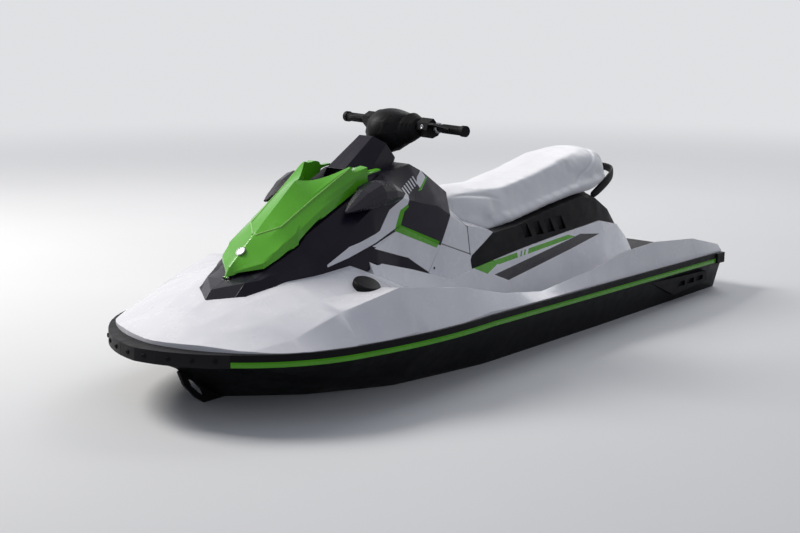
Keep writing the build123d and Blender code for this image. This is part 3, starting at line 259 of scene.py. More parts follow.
def gelcoat(name, tone, edge=0.003, droplets=True, decals=()):
    """Glossy moulded body paint with slight mottling, dust and drops of water."""
    shader = Shader(name)
    if edge:
        shader.soft_edges(edge)
    shader.colour(shader.with_decals(shader.mottled(tone), decals))
    shader.set(Coat_Weight=0.22, Coat_Roughness=0.05, Specular_IOR_Level=0.25)
    shader.rough(shader.ramp(shader.noise(scale=14, detail=5, rough=0.6), [(0.35, 0.2), (0.7, 0.32)]))
    shader.bump(shader.noise(scale=9, detail=2), strength=0.03, depth=0.004)
    if droplets:
        drops = shader.ramp(shader.cells(scale=120), [(0.0, 1.0), (0.16, 0.6), (0.2, 0.0)])
        patch = shader.ramp(shader.noise(scale=7, detail=2), [(0.5, 0.0), (0.58, 1.0)])
        shader.bump(shader.math("MULTIPLY", drops, patch), strength=0.4, depth=0.001)
    return shader.material


def moulded(name, tone, rough, grain, depth, edge=0.0, gloss=0.09, coat=0.0, decals=()):
    """Moulded plastic or rubber with a fine grain and scuffed patches."""
    shader = Shader(name)
    if edge:
        shader.soft_edges(edge)
    colour, shade = tone
    patches = shader.noise(scale=11, detail=5, rough=0.6)
    shader.colour(shader.with_decals(shader.ramp(patches, [(0.3, shade), (0.65, colour)]), decals))
    low, high = rough
    shader.rough(shader.ramp(shader.noise(scale=24, detail=4), [(0.3, low), (0.7, high)]))
    shader.set(Coat_Weight=coat, Coat_Roughness=0.2, Specular_IOR_Level=gloss)
    shader.bump(shader.cells(grain), strength=0.35, depth=depth)
    return shader.material


def metal(name, tone, rough):
    """Bare metal with casting or machining marks."""
    shader = Shader(name)
    shader.set(Metallic=1.0)
    colour, shade = tone
    shader.colour(shader.ramp(shader.noise(scale=20, detail=5), [(0.3, shade), (0.7, colour)]))
    low, high = rough
    shader.rough(shader.ramp(shader.noise(scale=60, detail=4), [(0.3, low), (0.7, high)]))
    shader.bump(shader.noise(scale=250, detail=3), strength=0.25, depth=0.0006)
    return shader.material


def ribbed_foam(name, tone, spacing):
    """Closed-cell foam matting with slanting grooves and scuffed crests."""
    shader = Shader(name)
    shader.soft_edges(radius=0.003)
    colour, shade = tone
    shader.colour(shader.ramp(shader.noise(scale=18, detail=5, rough=0.6), [(0.3, shade), (0.7, colour)]))
    shader.rough(shader.ramp(shader.noise(scale=40, detail=3), [(0.3, 0.6), (0.7, 0.85)]))
    shader.set(Specular_IOR_Level=0.3)
    wave = shader.node(
        "ShaderNodeTexWave", wave_type="BANDS", bands_direction="DIAGONAL", wave_profile="SIN"
    )
    # At scale 1 the bands repeat with each turn of 10 (x + y + z)
    wave.inputs["Scale"].default_value = 2 * math.pi / (10 * math.sqrt(2) * spacing)
    shader.link(shader.place, wave.inputs["Vector"])
    grooves = shader.ramp(wave.outputs["Fac"], [(0.2, 0.0), (0.5, 1.0)])
    shader.bump(grooves, strength=0.8, depth=0.002)
    shader.bump(shader.cells(scale=260), strength=0.4, depth=0.0006)
    return shader.material


# Tones: a colour with the shade of its patches

WHITE = ((0.78, 0.78, 0.81), (0.71, 0.71, 0.75))
VINYL_WHITE = ((0.80, 0.80, 0.82), (0.74, 0.74, 0.77))
GREEN = ((0.10, 0.42, 0.015), (0.08, 0.36, 0.01))
# A paler green for the hood's creases: a painted highlight along their bright line
HIGHLIGHT_GREEN = ((0.30, 0.62, 0.14), (0.24, 0.56, 0.10))
DARK = ((0.011, 0.009, 0.018), (0.007, 0.005, 0.012))
DARK_GREY = ((0.03, 0.027, 0.038), (0.02, 0.018, 0.027))
SEAM_GREY = ((0.12, 0.12, 0.13), (0.08, 0.08, 0.09))
BLACK = ((0.006, 0.006, 0.007), (0.004, 0.004, 0.005))
WORN_BLACK = ((0.010, 0.010, 0.011), (0.006, 0.006, 0.006))
BUMPER_BLACK = ((0.02, 0.019, 0.021), (0.012, 0.012, 0.013))
FOAM_BLACK = ((0.02, 0.02, 0.022), (0.008, 0.008, 0.009))
CASTING = ((0.35, 0.35, 0.37), (0.22, 0.22, 0.24))
ALLOY = ((0.4, 0.41, 0.44), (0.25, 0.26, 0.28))
STEEL = ((0.6, 0.6, 0.62), (0.45, 0.45, 0.47))
SILVER = ((0.85, 0.86, 0.88), (0.8, 0.81, 0.83))
TRIM = ((0.34, 0.345, 0.36), (0.24, 0.245, 0.26))
FLOOR_GREY = ((0.66, 0.665, 0.67), (0.64, 0.645, 0.65))


# Stripes and bands, as (x, z) corners seen from the side

FAIRING_WHITE = [
    [(1966, 863), (1979, 870), (2102, 826), (2035, 816), (1986, 832)],
    [(2102, 826), (2171, 759), (2072, 752), (2035, 816)],
    [(2171, 759), (2283, 732), (2290, 700), (2072, 752)],
    [(2283, 732), (2338, 723), (2442, 672), (2442, 664), (2290, 700)],
    [(2072, 741), (2225, 710), (1990, 630), (1822, 643)],
]
FAIRING_GREEN = [
    [(1986, 832), (2035, 816), (2011, 807), (1981, 822)],
    [(2035, 816), (2072, 752), (2036, 760), (2011, 807)],
]
# This band runs on from the fairing over the side cover and the console
LONG_GREEN = [[(2078, 745), (2036, 760), (1798, 664), (1822, 643)]]
UPPER_WHITE = [[(1884, 905), (1862, 868), (1785, 905), (1800, 935)]]
UPPER_GREEN = [[(1890, 868), (1866, 868), (1768, 905), (1790, 905)]]
# Joint lines of the front covers
COVER_SEAMS = [
    [(1788, 656), (1787, 651), (1590, 579), (1589, 584)],
    [(1679, 752), (1674, 750), (1583, 690), (1588, 689)],
    [(1590, 692), (1584, 692), (1592, 580), (1598, 580)],
]
PEDESTAL_GREEN = [
    [(1592, 527), (1511, 493), (1430, 522), (1486, 536)],
    [(1486, 536), (1424, 518), (1290, 525), (1290, 546)],
    [(1262, 548), (1274, 526), (1262, 527), (1250, 549)],
    [(1236, 549), (1248, 528), (1236, 529), (1224, 550)],
    [(1205, 550), (1217, 529), (844, 550), (900, 565)],
]
PEDESTAL_DARK = [[(1467, 483), (1380, 447), (640, 534), (800, 555)]]
# The stripe's upper part, on the rail above the stripe's own moulding
RAIL_GREEN = [[(0, 367), (3200, 452.5), (3200, 200), (0, 200)]]

HASH_COUNT = 6
HASH_FIRST = (1976, 868)
HASH_STEP = (-19, 6)
HASH_SHAPE = [(0, -8), (-9, -6), (3, 24), (12, 22)]


def hash_mark(number):
    x = HASH_FIRST[0] + HASH_STEP[0] * number
    z = HASH_FIRST[1] + HASH_STEP[1] * number
    return [(x + forward, z + up) for forward, up in HASH_SHAPE]


HASH_MARKS = [hash_mark(number) for number in range(HASH_COUNT)]


# Materials

white_paint = gelcoat("white_gelcoat", WHITE)
side_white = gelcoat("side_white_gelcoat", WHITE, decals=[(LONG_GREEN, GREEN)])
pedestal_paint = gelcoat(
    "pedestal_gelcoat", WHITE, decals=[(PEDESTAL_GREEN, GREEN), (PEDESTAL_DARK, DARK)]
)
cover_paint = gelcoat("front_cover_gelcoat", WHITE, decals=[(COVER_SEAMS, SEAM_GREY)])
green_paint = gelcoat("green_gelcoat", GREEN, edge=0)
# The creases' paler green is a painted highlight, lighter than the hood's own green
crease_highlight_green = gelcoat("crease_highlight_green", HIGHLIGHT_GREEN, edge=0, droplets=False)

hull_paint = moulded("hull_gelcoat", BLACK, rough=(0.3, 0.45), grain=500, depth=0.0002, gloss=0.1)
dark_panel = moulded(
    "dark_panel", DARK, rough=(0.28, 0.4), grain=900, depth=0.0002, edge=0.004, gloss=0.12, coat=0.02,
    decals=[(FAIRING_WHITE, WHITE), (FAIRING_GREEN + LONG_GREEN, GREEN), (HASH_MARKS, WHITE)],
)
nose_dark = moulded(
    "nose_dark", DARK, rough=(0.2, 0.3), grain=900, depth=0.0002, edge=0.004, gloss=0.3, coat=0.15
)
console_grey = moulded(
    "console_grey", DARK_GREY, rough=(0.36, 0.5), grain=900, depth=0.0003, edge=0.004,
    decals=[(LONG_GREEN, GREEN), (HASH_MARKS + UPPER_WHITE, WHITE), (UPPER_GREEN, GREEN)],
)
mirror_shell = moulded("mirror_shell", DARK, rough=(0.24, 0.34), grain=900, depth=0.0001, gloss=0.3)
black_plastic = moulded(
    "black_plastic", BLACK, rough=(0.4, 0.58), grain=700, depth=0.0004, edge=0.002
)
rail_rubber = moulded(
    "rail_rubber", BLACK, rough=(0.4, 0.55), grain=700, depth=0.0003, edge=0.003,
    decals=[(RAIL_GREEN, GREEN)],
)
bumper_rubber = moulded(
    "bumper_rubber", BUMPER_BLACK, rough=(0.4, 0.55), grain=600, depth=0.0004, edge=0.004
)
soft_rubber = moulded("soft_rubber", WORN_BLACK, rough=(0.5, 0.7), grain=350, depth=0.0006)
seat_vinyl = moulded(
    "seat_vinyl", VINYL_WHITE, rough=(0.4, 0.52), grain=420, depth=0.0003, gloss=0.4, coat=0.05
)
black_steel = moulded(
    "black_steel", WORN_BLACK, rough=(0.3, 0.42), grain=500, depth=0.0002, gloss=0.3
)
mat_foam = ribbed_foam("mat_foam", FOAM_BLACK, spacing=0.0335)

cast_metal = metal("cast_metal", CASTING, rough=(0.45, 0.65))
pump_alloy = metal("pump_alloy", ALLOY, rough=(0.35, 0.5))
impeller_steel = metal("impeller_steel", STEEL, rough=(0.2, 0.32))
mirror_face = metal("mirror_face", SILVER, rough=(0.03, 0.05))
bright_trim = metal("bright_trim", TRIM, rough=(0.42, 0.5))

SLOT_MATERIALS = {
    "hull_paint": hull_paint,
    "white_gelcoat": white_paint,
    "green_gelcoat": green_paint,
    "dark_panel": dark_panel,
    "black_plastic": black_plastic,
    "black_steel": black_steel,
    "grip_rubber": soft_rubber,
    "mat_foam": mat_foam,
    "seat_vinyl": seat_vinyl,
    "mirror": mirror_face,
    "cast_metal": cast_metal,
    "pump_alloy": pump_alloy,
    "impeller_steel": impeller_steel,
}
# Nodes that look different from the others of their slot
NODE_MATERIALS = {
    "pedestal": pedestal_paint,
    "nose_panel": nose_dark,
    "console": console_grey,
    "bow_bumper_centre": bumper_rubber,
    **dict.fromkeys(both("bow_bumper"), bumper_rubber),
    **dict.fromkeys(both("side_cover"), side_white),
    **dict.fromkeys(both("front_cover"), cover_paint),
    **dict.fromkeys(both("mirror"), mirror_shell),
    **dict.fromkeys(both("rail"), rail_rubber),
}
slot_of = {}
for entry in frame["record"]["subparts"]:
    name = entry["node"]
    slot_of[name] = entry["material_slot"]
    nodes[name].data.materials.clear()
    nodes[name].data.materials.append(NODE_MATERIALS.get(name, SLOT_MATERIALS[slot_of[name]]))


# Moulded surfaces shade smoothly over the solids' small facets

WELD_DISTANCE = 0.00005
# Nodes by the angle in degrees from which an edge stays sharp
SMOOTHED = {
    14: ["hood", "nose_panel", *both("fairing"), "console", "cowl_foot"],
    28: [
        "deck", "hull", "pedestal", *both("rail"), *both("rail_stripe"), "seat_base", "fuel_cap",
        *both("sponson"), *both("front_cover"),
    ],
    58: ["handlebar_cover"],
}


def smoothing(name, angle):
    """A node group that shades faces smoothly up to an edge angle in degrees."""
    group = bpy.data.node_groups.new(name, "GeometryNodeTree")
    group.interface.new_socket("Geometry", in_out="INPUT", socket_type="NodeSocketGeometry")
    group.interface.new_socket("Geometry", in_out="OUTPUT", socket_type="NodeSocketGeometry")
    start = group.nodes.new("NodeGroupInput")
    weld = group.nodes.new("GeometryNodeMergeByDistance")
    weld.inputs["Distance"].default_value = WELD_DISTANCE
    plain = group.nodes.new("GeometryNodeRemoveAttribute")
    plain.inputs["Name"].default_value = "custom_normal"
    faces = group.nodes.new("GeometryNodeSetShadeSmooth")
    faces.domain = "FACE"
    edges = group.nodes.new("GeometryNodeSetShadeSmooth")
    edges.domain = "EDGE"
    bend = group.nodes.new("GeometryNodeInputMeshEdgeAngle")
    flat = group.nodes.new("FunctionNodeCompare")
    flat.operation = "LESS_THAN"
    flat.inputs[1].default_value = math.radians(angle)
    end = group.nodes.new("NodeGroupOutput")
    group.links.new(start.outputs[0], weld.inputs["Geometry"])
    group.links.new(weld.outputs["Geometry"], plain.inputs["Geometry"])
    group.links.new(plain.outputs["Geometry"], faces.inputs["Geometry"])
    group.links.new(faces.outputs["Geometry"], edges.inputs["Geometry"])
    group.links.new(bend.outputs["Unsigned Angle"], flat.inputs[0])
    group.links.new(flat.outputs["Result"], edges.inputs["Shade Smooth"])
    group.links.new(edges.outputs["Geometry"], end.inputs[0])
    return group


for angle, names in SMOOTHED.items():
    smooth_group = smoothing(f"smooth_shading_{angle}", angle)
    for name in names:
        modifier = nodes[name].modifiers.new("smooth_shading", "NODES")
        modifier.node_group = smooth_group


# Helpers for the scene's own pieces

def surface_of(node):
    mesh = nodes[node].data
    return BVHTree.FromPolygons([v.co for v in mesh.vertices], [list(p.vertices) for p in mesh.polygons])


def put(name, mesh, node, material):
    """Links a finished mesh as a piece that rides on a node's body."""
    for face in mesh.polygons:
        face.use_smooth = True
    mesh.materials.append(material)
    piece = add_object(name, mesh)
    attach(piece, body_of(nodes[node])[0])
    return piece


def subdivide(piece, levels):
    modifier = piece.modifiers.new("fine", "SUBSURF")
    modifier.levels = modifier.render_levels = levels
    return modifier


def circle(count):
    """The cosine and sine of each corner of a regular outline."""
    angles = [2 * math.pi * number / count for number in range(count)]
    return [(math.cos(angle), math.sin(angle)) for angle in angles]


def ring_mesh(name, rings, capped=True):
    """A tube through rings of places; all have the same count, but the last may be a single tip."""
    shape = bmesh.new()
    rows = [[shape.verts.new(spot) for spot in ring] for ring in rings]
    for low, high in zip(rows, rows[1:]):
        for number in range(len(low)):
            after = (number + 1) % len(low)
            if len(high) == 1:
                shape.faces.new((low[number], low[after], high[0]))
            else:
                shape.faces.new((low[number], low[after], high[after], high[number]))
    if capped:
        shape.faces.new(rows[0])
        shape.faces.new(rows[-1])
    bmesh.ops.recalc_face_normals(shape, faces=shape.faces)
    mesh = bpy.data.meshes.new(name)
    shape.to_mesh(mesh)
    shape.free()
    return mesh


def turned_mesh(name, profile, place, axis, sides):
    """An open round mesh from (radius, height) pairs in millimetres along an axis."""
    turn = axis.to_track_quat("Z", "Y").to_matrix()
    rings = []
    for radius, height in profile:
        corners = circle(sides) if radius else [(0, 0)]
        ring = [Vector((radius * a, radius * b, height)) / 1000 for a, b in corners]
        rings.append([place + turn @ spot for spot in ring])
    return ring_mesh(name, rings, capped=False)


def swept_rings(path, sections):
    """Rings along a path of places, each from its section of (across, up) pairs in millimetres."""
    rings = []
    for number, (spot, section) in enumerate(zip(path, sections)):
        before = path[max(0, number - 1)]
        after = path[min(len(path) - 1, number + 1)]
        run = (after - before).normalized()
        out = run.cross(Vector((0, 0, 1))).normalized()
        up = out.cross(run)
        rings.append([spot + (out * across + up * rise) / 1000 for across, rise in section])
    return rings


# Seat cushion, with lengths in metres

SEAT_VOXEL = 0.0085
SEAT_SHRINK = 0.007
SEAT_CAP = 0.022
SEAT_PRESSURE = 4
SEAT_QUALITY = 5
SEAT_FRAMES = 20
# Rounds of smoothing before the shrinking and after the filling
SEAT_START_ROUNDS = 3
SEAT_FILL_ROUNDS = 7
RELAX_FACTOR = 0.5
# Vertices that face down more than this rest on the seat base, and neither shrink nor fill
REST_TILT = -0.35
# Faces that face down more than this are the cushion's black bottom, which also stands as painted shade for
# the shadowed gap under the cushion
SHADED_BOTTOM_TILT = -0.75
# Each seam has a path in millimetres, and a groove with its depth, width and reach in metres
# The seam along each shoulder, as x, y, z on the port side
SHOULDER_SEAM = [
    (1600, 80, 806), (1480, 104, 800), (1378, 120, 786), (1287, 145, 762), (1202, 166, 748),
    (1110, 172, 742),
]
SHOULDER_GROOVE = (0.007, 0.008, 0.03)
# The joint of the back panel, as x, z seen from the side
BACK_SEAM = [(430, 900), (545, 897), (575, 873), (628, 840), (700, 806), (775, 770)]
BACK_GROOVE = (0.006, 0.007, 0.02)


def remeshed(source, voxel):
    """A copy of an object's mesh, made of cells of one size."""
    copy = add_object("remesh_source", source.data.copy())
    modifier = copy.modifiers.new("remesh", "REMESH")
    modifier.mode = "VOXEL"
    modifier.voxel_size = voxel
    depsgraph = bpy.context.evaluated_depsgraph_get()
    mesh = bpy.data.meshes.new_from_object(copy.evaluated_get(depsgraph))
    bpy.data.objects.remove(copy)
    return mesh


def relax(mesh, rounds):
    shape = bmesh.new()
    shape.from_mesh(mesh)
    for _ in range(rounds):
        bmesh.ops.smooth_vert(
            shape, verts=shape.verts, factor=RELAX_FACTOR, use_axis_x=True, use_axis_y=True, use_axis_z=True
        )
    shape.to_mesh(mesh)
    shape.free()


def inflate(cushion, resting):
    """Fills the cushion by a cloth simulation with inner pressure; what rests stays in place."""
    mesh = cushion.data
    start = [v.co.copy() for v in mesh.vertices]
    cloth = cushion.modifiers.new("cloth", "CLOTH")
    cloth.settings.use_pressure = True
    cloth.settings.uniform_pressure_force = SEAT_PRESSURE
    cloth.settings.effector_weights.gravity = 0
    cloth.settings.quality = SEAT_QUALITY
    scene = bpy.context.scene
    for number in range(1, SEAT_FRAMES + 1):
        scene.frame_set(number)
    depsgraph = bpy.context.evaluated_depsgraph_get()
    moved = cushion.evaluated_get(depsgraph).to_mesh()
    ends = [v.co.copy() for v in moved.vertices]
    cushion.evaluated_get(depsgraph).to_mesh_clear()
    cushion.modifiers.remove(cloth)
    scene.frame_set(1)
    for vertex, low, high, flat in zip(mesh.vertices, start, ends, resting):
        step = high - low
        if flat:
            step = Vector((0, 0, 0))
        elif step.length > SEAT_CAP:
            step *= SEAT_CAP / step.length
        vertex.co = low + step


def distance_to_path(spot, path):
    nearest = math.inf
    for low, high in zip(path, path[1:]):
        step = high - low
        share = max(0.0, min(1.0, (spot - low).dot(step) / step.length_squared))
        nearest = min(nearest, (low + step * share - spot).length)
    return nearest


def groove_depth(spot, path, groove):
    """How far a seam is pressed in at a place."""
    depth, width, reach = groove
    gap = distance_to_path(spot, path)
    return depth * math.exp(-((gap / width) ** 2)) if gap < reach else 0


def press_seams(mesh):
    shoulder = [at(*spot) for spot in SHOULDER_SEAM]
    back = [at(x, 0, z) for x, z in BACK_SEAM]
    normals = [v.normal.copy() for v in mesh.vertices]
    for vertex, normal in zip(mesh.vertices, normals):
        x, y, z = vertex.co
        depth = groove_depth(Vector((x, abs(y), z)), shoulder, SHOULDER_GROOVE)
        depth += groove_depth(Vector((x, 0, z)), back, BACK_GROOVE)
        vertex.co -= normal * depth


def make_seat():
    mesh = remeshed(nodes["seat"], SEAT_VOXEL)
    relax(mesh, SEAT_START_ROUNDS)
    cushion = add_object("seat_cushion", mesh)
    resting = [v.normal.z < REST_TILT for v in mesh.vertices]
    for vertex, flat in zip(mesh.vertices, resting):
        if not flat:
            vertex.co -= vertex.normal * SEAT_SHRINK
    inflate(cushion, resting)
    relax(mesh, SEAT_FILL_ROUNDS)
    fine = subdivide(cushion, 1)
    depsgraph = bpy.context.evaluated_depsgraph_get()
    smooth = bpy.data.meshes.new_from_object(cushion.evaluated_get(depsgraph))
    cushion.modifiers.remove(fine)
    cushion.data = smooth
    press_seams(smooth)
    for face in smooth.polygons:
        face.use_smooth = True
        # Down-facing faces take black plastic: the cushion's bottom, and painted shade for the gap under it
        face.material_index = 1 if face.normal.z < SHADED_BOTTOM_TILT else 0
    smooth.materials.clear()
    smooth.materials.append(seat_vinyl)
    smooth.materials.append(black_plastic)
    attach(cushion, "seat")
    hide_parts("seat")


make_seat()


# Small fittings, with profiles as (radius, height) pairs in millimetres

BADGE_PLACE = (2648, 0, 724)
BADGE_PROFILE = [(19, -1), (19, 2.4), (17.6, 3.4), (15.8, 3.2), (15, 2.2), (12, 2.6), (6, 3.3), (0, 3.6)]
BADGE_SIDES = 48
BOLT_PROFILE = [(8, -1), (8, 2.6), (6.6, 4.2), (4.4, 4.4), (4.0, 2.4), (0, 2.2)]
# Places ahead of the bumper; each bolt sits on the surface nearest to its place
SIDE_BOLTS = ((3160, 150), (3120, 235), (3078, 310))
CENTRE_BOLT_X = 3160
CENTRE_BOLT_Y = 46
BOLT_HEIGHT = 452
FASTENER_PLACE = (1846, 250, 571)
FASTENER_PROFILE = [(5, -1), (5, 1), (4, 1.8), (2, 1.8), (1.6, 0.8), (0, 0.7)]
BUTTON_PLACE = (1875, 172, 1112)
BUTTON_PROFILE = [(8.5, -1), (8.5, 2.2), (7.5, 3), (5.6, 3), (5.2, 1.6), (0, 2)]
# A fitting faces along the mean of the surface's normals this far to its left and right, in metres
STUD_SPAN = 0.012


def stud(name, node, place, profile, material, sides=32):
    """A round fitting on a node's surface nearest to a place."""
    surface = surface_of(node)
    spot = surface.find_nearest(place)[0]
    normal = Vector((0, 0, 0))
    for step in (-STUD_SPAN, STUD_SPAN):
        normal += surface.find_nearest(spot + Vector((0, step, 0)))[1]
    put(name, turned_mesh(name, profile, spot, normal.normalized(), sides), node, material)


stud("hood_badge", "hood", at(*BADGE_PLACE), BADGE_PROFILE, bright_trim, BADGE_SIDES)
for side, sign in SIDES:
    for number, (x, y) in enumerate(SIDE_BOLTS):
        stud(
            f"bumper_bolt_{side}_{number + 1}", f"bow_bumper_{side}", at(x, sign * y, BOLT_HEIGHT),
            BOLT_PROFILE, soft_rubber,
        )
for number, y in enumerate((-CENTRE_BOLT_Y, CENTRE_BOLT_Y)):
    stud(
        f"bumper_bolt_centre_{number + 1}", "bow_bumper_centre", at(CENTRE_BOLT_X, y, BOLT_HEIGHT),
        BOLT_PROFILE, soft_rubber,
    )
for side, sign in SIDES:
    x, y, z = FASTENER_PLACE
    stud(
        f"cover_fastener_{side}", f"front_cover_{side}", at(x, sign * y, z),
        FASTENER_PROFILE, black_plastic,
    )
stud("start_button_ring", "switch_housing_port", at(*BUTTON_PLACE), BUTTON_PROFILE, bright_trim)


# Handlebar frame: u forward across the column, v port, w up the column

# Degrees that the bar is turned at rest, as in the part's source
STEER_REST = -11
steering = next(joint for joint in frame["joints"] if joint["name"] == "steering")
bar_pivot = Vector(steering["pos_m"])
bar_turn = Matrix.Rotation(math.radians(STEER_REST), 3, "Z")
bar_w = bar_turn @ Vector(steering["axis"]).normalized()
bar_v = bar_turn @ Vector((0, 1, 0))
bar_u = bar_v.cross(bar_w)


def bar_place(u, v, w):
    return bar_pivot + (bar_u * u + bar_v * v + bar_w * w) / 1000


def bar_rings(rows, outline, sign=1):
    """Rings of an outline with half size 1, one for each row of v, u, w and half sizes along u and w."""
    return [
        [bar_place(u + half_u * across, sign * v, w + half_w * up) for across, up in outline]
        for v, u, w, half_u, half_w in rows
    ]


# Handlebar cover: its shell and the bellows at its ends, in millimetres and in rows for bar_rings

MIDDLE_ROW = (0, -21, 8, 89.25, 106.05)
PORT_ROWS = [(36, -22, 10, 82.95, 96.6), (72, -28, 22, 67.2, 79.8), (98, -33, 31, 52.5, 63)]
SHELL = [(-v, *rest) for v, *rest in reversed(PORT_ROWS)] + [MIDDLE_ROW] + PORT_ROWS
SHELL_OUTLINE = [
    (-1, 0), (-0.88, -0.55), (-0.5, -0.9), (0.1, -1), (0.62, -0.8), (0.95, -0.35),
    (0.92, 0.12), (0.7, 0.5), (0.3, 0.8), (-0.2, 1), (-0.7, 0.9), (-0.97, 0.5),
]
BELLOWS = [
    (92, -32, 29, 50, 62), (96, -34, 32, 53, 65), (101, -36, 34, 46, 56), (106, -37, 36, 48, 58),
    (111, -39, 39, 40, 48), (116, -40, 41, 42, 50), (121, -41, 43, 35, 41), (126, -42, 45, 37, 42),
    (130, -43, 46, 30, 33),
]
BELLOWS_SIDES = 40

shell_mesh = ring_mesh("bar_cover_shell", bar_rings(SHELL, SHELL_OUTLINE))
shell = put("bar_cover_shell", shell_mesh, "handlebar_cover", black_plastic)
subdivide(shell, 3)


# Sleeves and collars of the grips: the bar's line there as u and w, then radii and places along it

GRIP_LINE = (-58, 70)
SLEEVE_RADIUS = 15
SLEEVE_ENDS = (238, 349)
SLEEVE_SIDES = 28
RIB_COUNT = 13
RIB_FIRST = 240
RIB_PITCH = 8.4
RIB_PROFILE = [(17.6, 0), (17.6, 4.6), (16.2, 5.4), (16.2, 7.6)]
COLLAR_PROFILE = [(15, 203), (20, 204), (20.5, 206), (20.5, 214), (20, 216), (15, 217)]
COLLAR_SIDES = 32

ribs = [
    (radius, RIB_FIRST + RIB_PITCH * number + along)
    for number in range(RIB_COUNT) for radius, along in RIB_PROFILE
]
sleeve_profile = [(SLEEVE_RADIUS, SLEEVE_ENDS[0]), *ribs, (SLEEVE_RADIUS, SLEEVE_ENDS[1])]
grip_start = bar_place(GRIP_LINE[0], 0, GRIP_LINE[1])
for side, sign in SIDES:
    bellows_name = f"bar_bellows_{side}"
    bellows = ring_mesh(bellows_name, bar_rings(BELLOWS, circle(BELLOWS_SIDES), sign))
    put(bellows_name, bellows, "handlebar_cover", soft_rubber)
    sleeve_name = f"grip_sleeve_{side}"
    sleeve = turned_mesh(sleeve_name, sleeve_profile, grip_start, bar_v * sign, SLEEVE_SIDES)
    put(sleeve_name, sleeve, f"grip_{side}", soft_rubber)
    collar_name = f"grip_collar_{side}"
    collar = turned_mesh(collar_name, COLLAR_PROFILE, grip_start, bar_v * sign, COLLAR_SIDES)
    put(collar_name, collar, f"switch_housing_{side}", cast_metal)


# Creases of the hood's raised panel, as x and y on the port side; they lie on the hood, and their paler
# green is a painted highlight

HOOD_CREASE = [(2208, 119), (2286, 105.5), (2374, 92), (2465, 81), (2522, 74.5), (2555, 36), (2586, 2.5)]
CREASE_RADIUS = 2.8
CREASE_STEP = 9
CREASE_SIDES = 8
ABOVE_HOOD = 1200
crease_section = [(CREASE_RADIUS * a, CREASE_RADIUS * b) for a, b in circle(CREASE_SIDES)]
hood_surface = surface_of("hood")


def crease_path(sign):
    """Places on the hood along a crease, one each CREASE_STEP or less."""
    path = []
    for low, high in zip(HOOD_CREASE, HOOD_CREASE[1:]):
        count = math.ceil(math.dist(low, high) / CREASE_STEP)
        for number in range(count):
            share = number / count
            x = low[0] + (high[0] - low[0]) * share
            y = low[1] + (high[1] - low[1]) * share
            path.append(hood_surface.ray_cast(at(x, sign * y, ABOVE_HOOD), Vector((0, 0, -1)))[0])
    return path


for side, sign in SIDES:
    path = crease_path(sign)
    crease = ring_mesh(f"hood_crease_{side}", swept_rings(path, [crease_section] * len(path)))
    put(f"hood_crease_{side}", crease, "hood", crease_highlight_green)


# Grab handle: a deep moulded band round the seat's tail, as x, y, z on the port side with its half height

HANDLE_BAND = [
    (600, 126, 690, 15), (566, 133, 706, 19), (520, 135, 730, 22), (470, 132, 752, 23), (420, 120, 769, 22),
    (378, 96, 781, 20), (350, 62, 788, 18), (338, 26, 791, 17),
]
HANDLE_HALF = 8
HANDLE_SIDES = 12
# 1 would make the section an ellipse, and less makes it squarer
HANDLE_POWER = 0.6


def squarer(share):
    return math.copysign(abs(share) ** HANDLE_POWER, share)


handle_band = HANDLE_BAND + [(x, -y, z, half) for x, y, z, half in reversed(HANDLE_BAND)]
handle_path = [at(x, y, z) for x, y, z, _ in handle_band]
handle_sections = [
    [(HANDLE_HALF * squarer(a), half * squarer(b)) for a, b in circle(HANDLE_SIDES)]
    for _, _, _, half in handle_band
]
grab_mesh = ring_mesh("grab_band", swept_rings(handle_path, handle_sections))
grab_band = put("grab_band", grab_mesh, "grab_handle", black_plastic)
subdivide(grab_band, 2)
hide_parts("grab_handle")


# Floor and backdrop

FLOOR_HALF = 60
FLOOR_PATCHES = 0.6
# What the floor sends back on the object's flanks
FLOOR_BOUNCE = (0.26, 0.26, 0.27)
# The floor fades into the backdrop between these distances from the middle
FADE_START = 3.2
FADE_END = 9
PALE = (0.74, 0.75, 0.77)
SKY = (0.84, 0.88, 1.0)
SKY_STRENGTH = 0.34


def seen_directly(tree):
    """1 for rays from the camera, and for those that gloss and glass send on."""
    rays = tree.nodes.new("ShaderNodeLightPath")
    total = rays.outputs["Is Camera Ray"]
    for name in ("Is Glossy Ray", "Is Transmission Ray"):
        both_kinds = tree.nodes.new("ShaderNodeMath")
        both_kinds.operation = "MAXIMUM"
        tree.links.new(total, both_kinds.inputs[0])
        tree.links.new(rays.outputs[name], both_kinds.inputs[1])
        total = both_kinds.outputs["Value"]
    return total


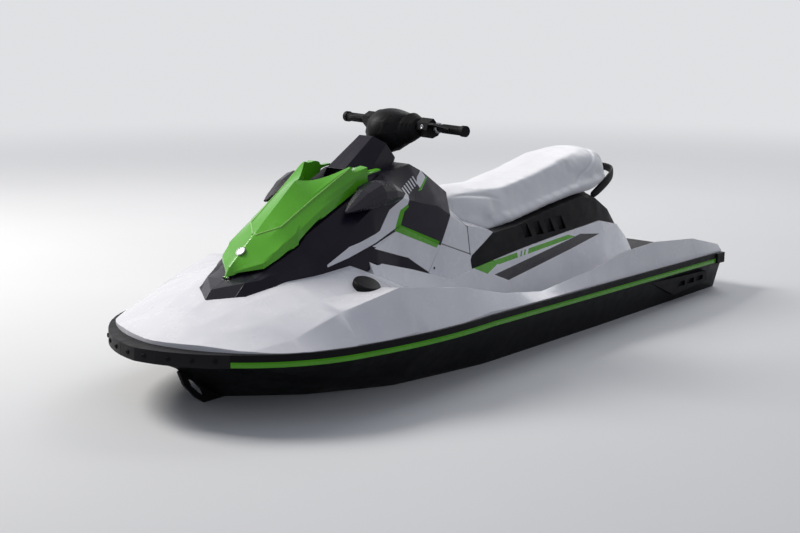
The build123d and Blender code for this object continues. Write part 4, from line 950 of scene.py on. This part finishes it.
def floor_material():
    """Pale matt ground that glows like the backdrop farther out."""
    shader = Shader("floor")
    pale = shader.mottled(FLOOR_GREY, FLOOR_PATCHES)
    shader.colour(shader.mix(seen_directly(shader.tree), FLOOR_BOUNCE, pale))
    shader.set(Roughness=0.85, Specular_IOR_Level=0.1)
    distance = shader.node("ShaderNodeVectorMath", operation="LENGTH")
    shader.link(shader.place, distance.inputs[0])
    fade = shader.node("ShaderNodeMapRange", interpolation_type="SMOOTHSTEP")
    fade.inputs["From Min"].default_value = FADE_START
    fade.inputs["From Max"].default_value = FADE_END
    shader.link(distance.outputs["Value"], fade.inputs["Value"])
    glow = shader.node("ShaderNodeEmission")
    glow.inputs["Color"].default_value = (*PALE, 1)
    blend = shader.node("ShaderNodeMixShader")
    share = shader.math("MULTIPLY", fade.outputs["Result"], seen_directly(shader.tree))
    shader.link(share, blend.inputs["Fac"])
    shader.link(shader.surface.outputs["BSDF"], blend.inputs[1])
    shader.link(glow.outputs["Emission"], blend.inputs[2])
    shader.link(blend.outputs["Shader"], shader.tree.nodes["Material Output"].inputs["Surface"])
    return shader.material


floor_mesh = bpy.data.meshes.new("floor")
floor_corners = [(x * FLOOR_HALF, y * FLOOR_HALF, 0) for x, y in ((-1, -1), (1, -1), (1, 1), (-1, 1))]
floor_mesh.from_pydata(floor_corners, [], [(0, 1, 2, 3)])
floor_mesh.materials.append(floor_material())
floor = add_object("floor", floor_mesh)

world = bpy.data.worlds.new("world")
bpy.context.scene.world = world
world.use_nodes = True
world_tree = world.node_tree
sky = world_tree.nodes["Background"]
sky.inputs["Color"].default_value = (*SKY, 1)
sky.inputs["Strength"].default_value = SKY_STRENGTH
backdrop = world_tree.nodes.new("ShaderNodeBackground")
backdrop.inputs["Color"].default_value = (*PALE, 1)
backdrop.inputs["Strength"].default_value = 1
either = world_tree.nodes.new("ShaderNodeMixShader")
world_tree.links.new(seen_directly(world_tree), either.inputs["Fac"])
world_tree.links.new(sky.outputs["Background"], either.inputs[1])
world_tree.links.new(backdrop.outputs["Background"], either.inputs[2])
world_tree.links.new(either.outputs["Shader"], world_tree.nodes["World Output"].inputs["Surface"])


# Lights, with places and sizes in metres and power in watts

def softbox(name, place, target, size, power, colour=(1, 1, 1)):
    data = bpy.data.lights.new(name, "AREA")
    data.shape = "RECTANGLE"
    data.size, data.size_y = size
    data.energy = power
    data.color = colour
    lamp = add_object(name, data)
    lamp.location = place
    lamp.rotation_mode = "QUATERNION"
    lamp.rotation_quaternion = (Vector(target) - Vector(place)).to_track_quat("-Z", "Y")


softbox(
    "key", place=(2.2, -5.0, 5.0), target=(0.2, 0, 0.4), size=(2.6, 2.6), power=500,
    colour=(1.0, 0.97, 0.93),
)
softbox(
    "fill", place=(2.5, 6.0, 3.5), target=(0, 0, 0.4), size=(5, 4), power=28, colour=(0.86, 0.9, 1.0)
)
softbox("back", place=(-5.0, -1.0, 4.5), target=(0, 0, 0.4), size=(4, 3), power=130)
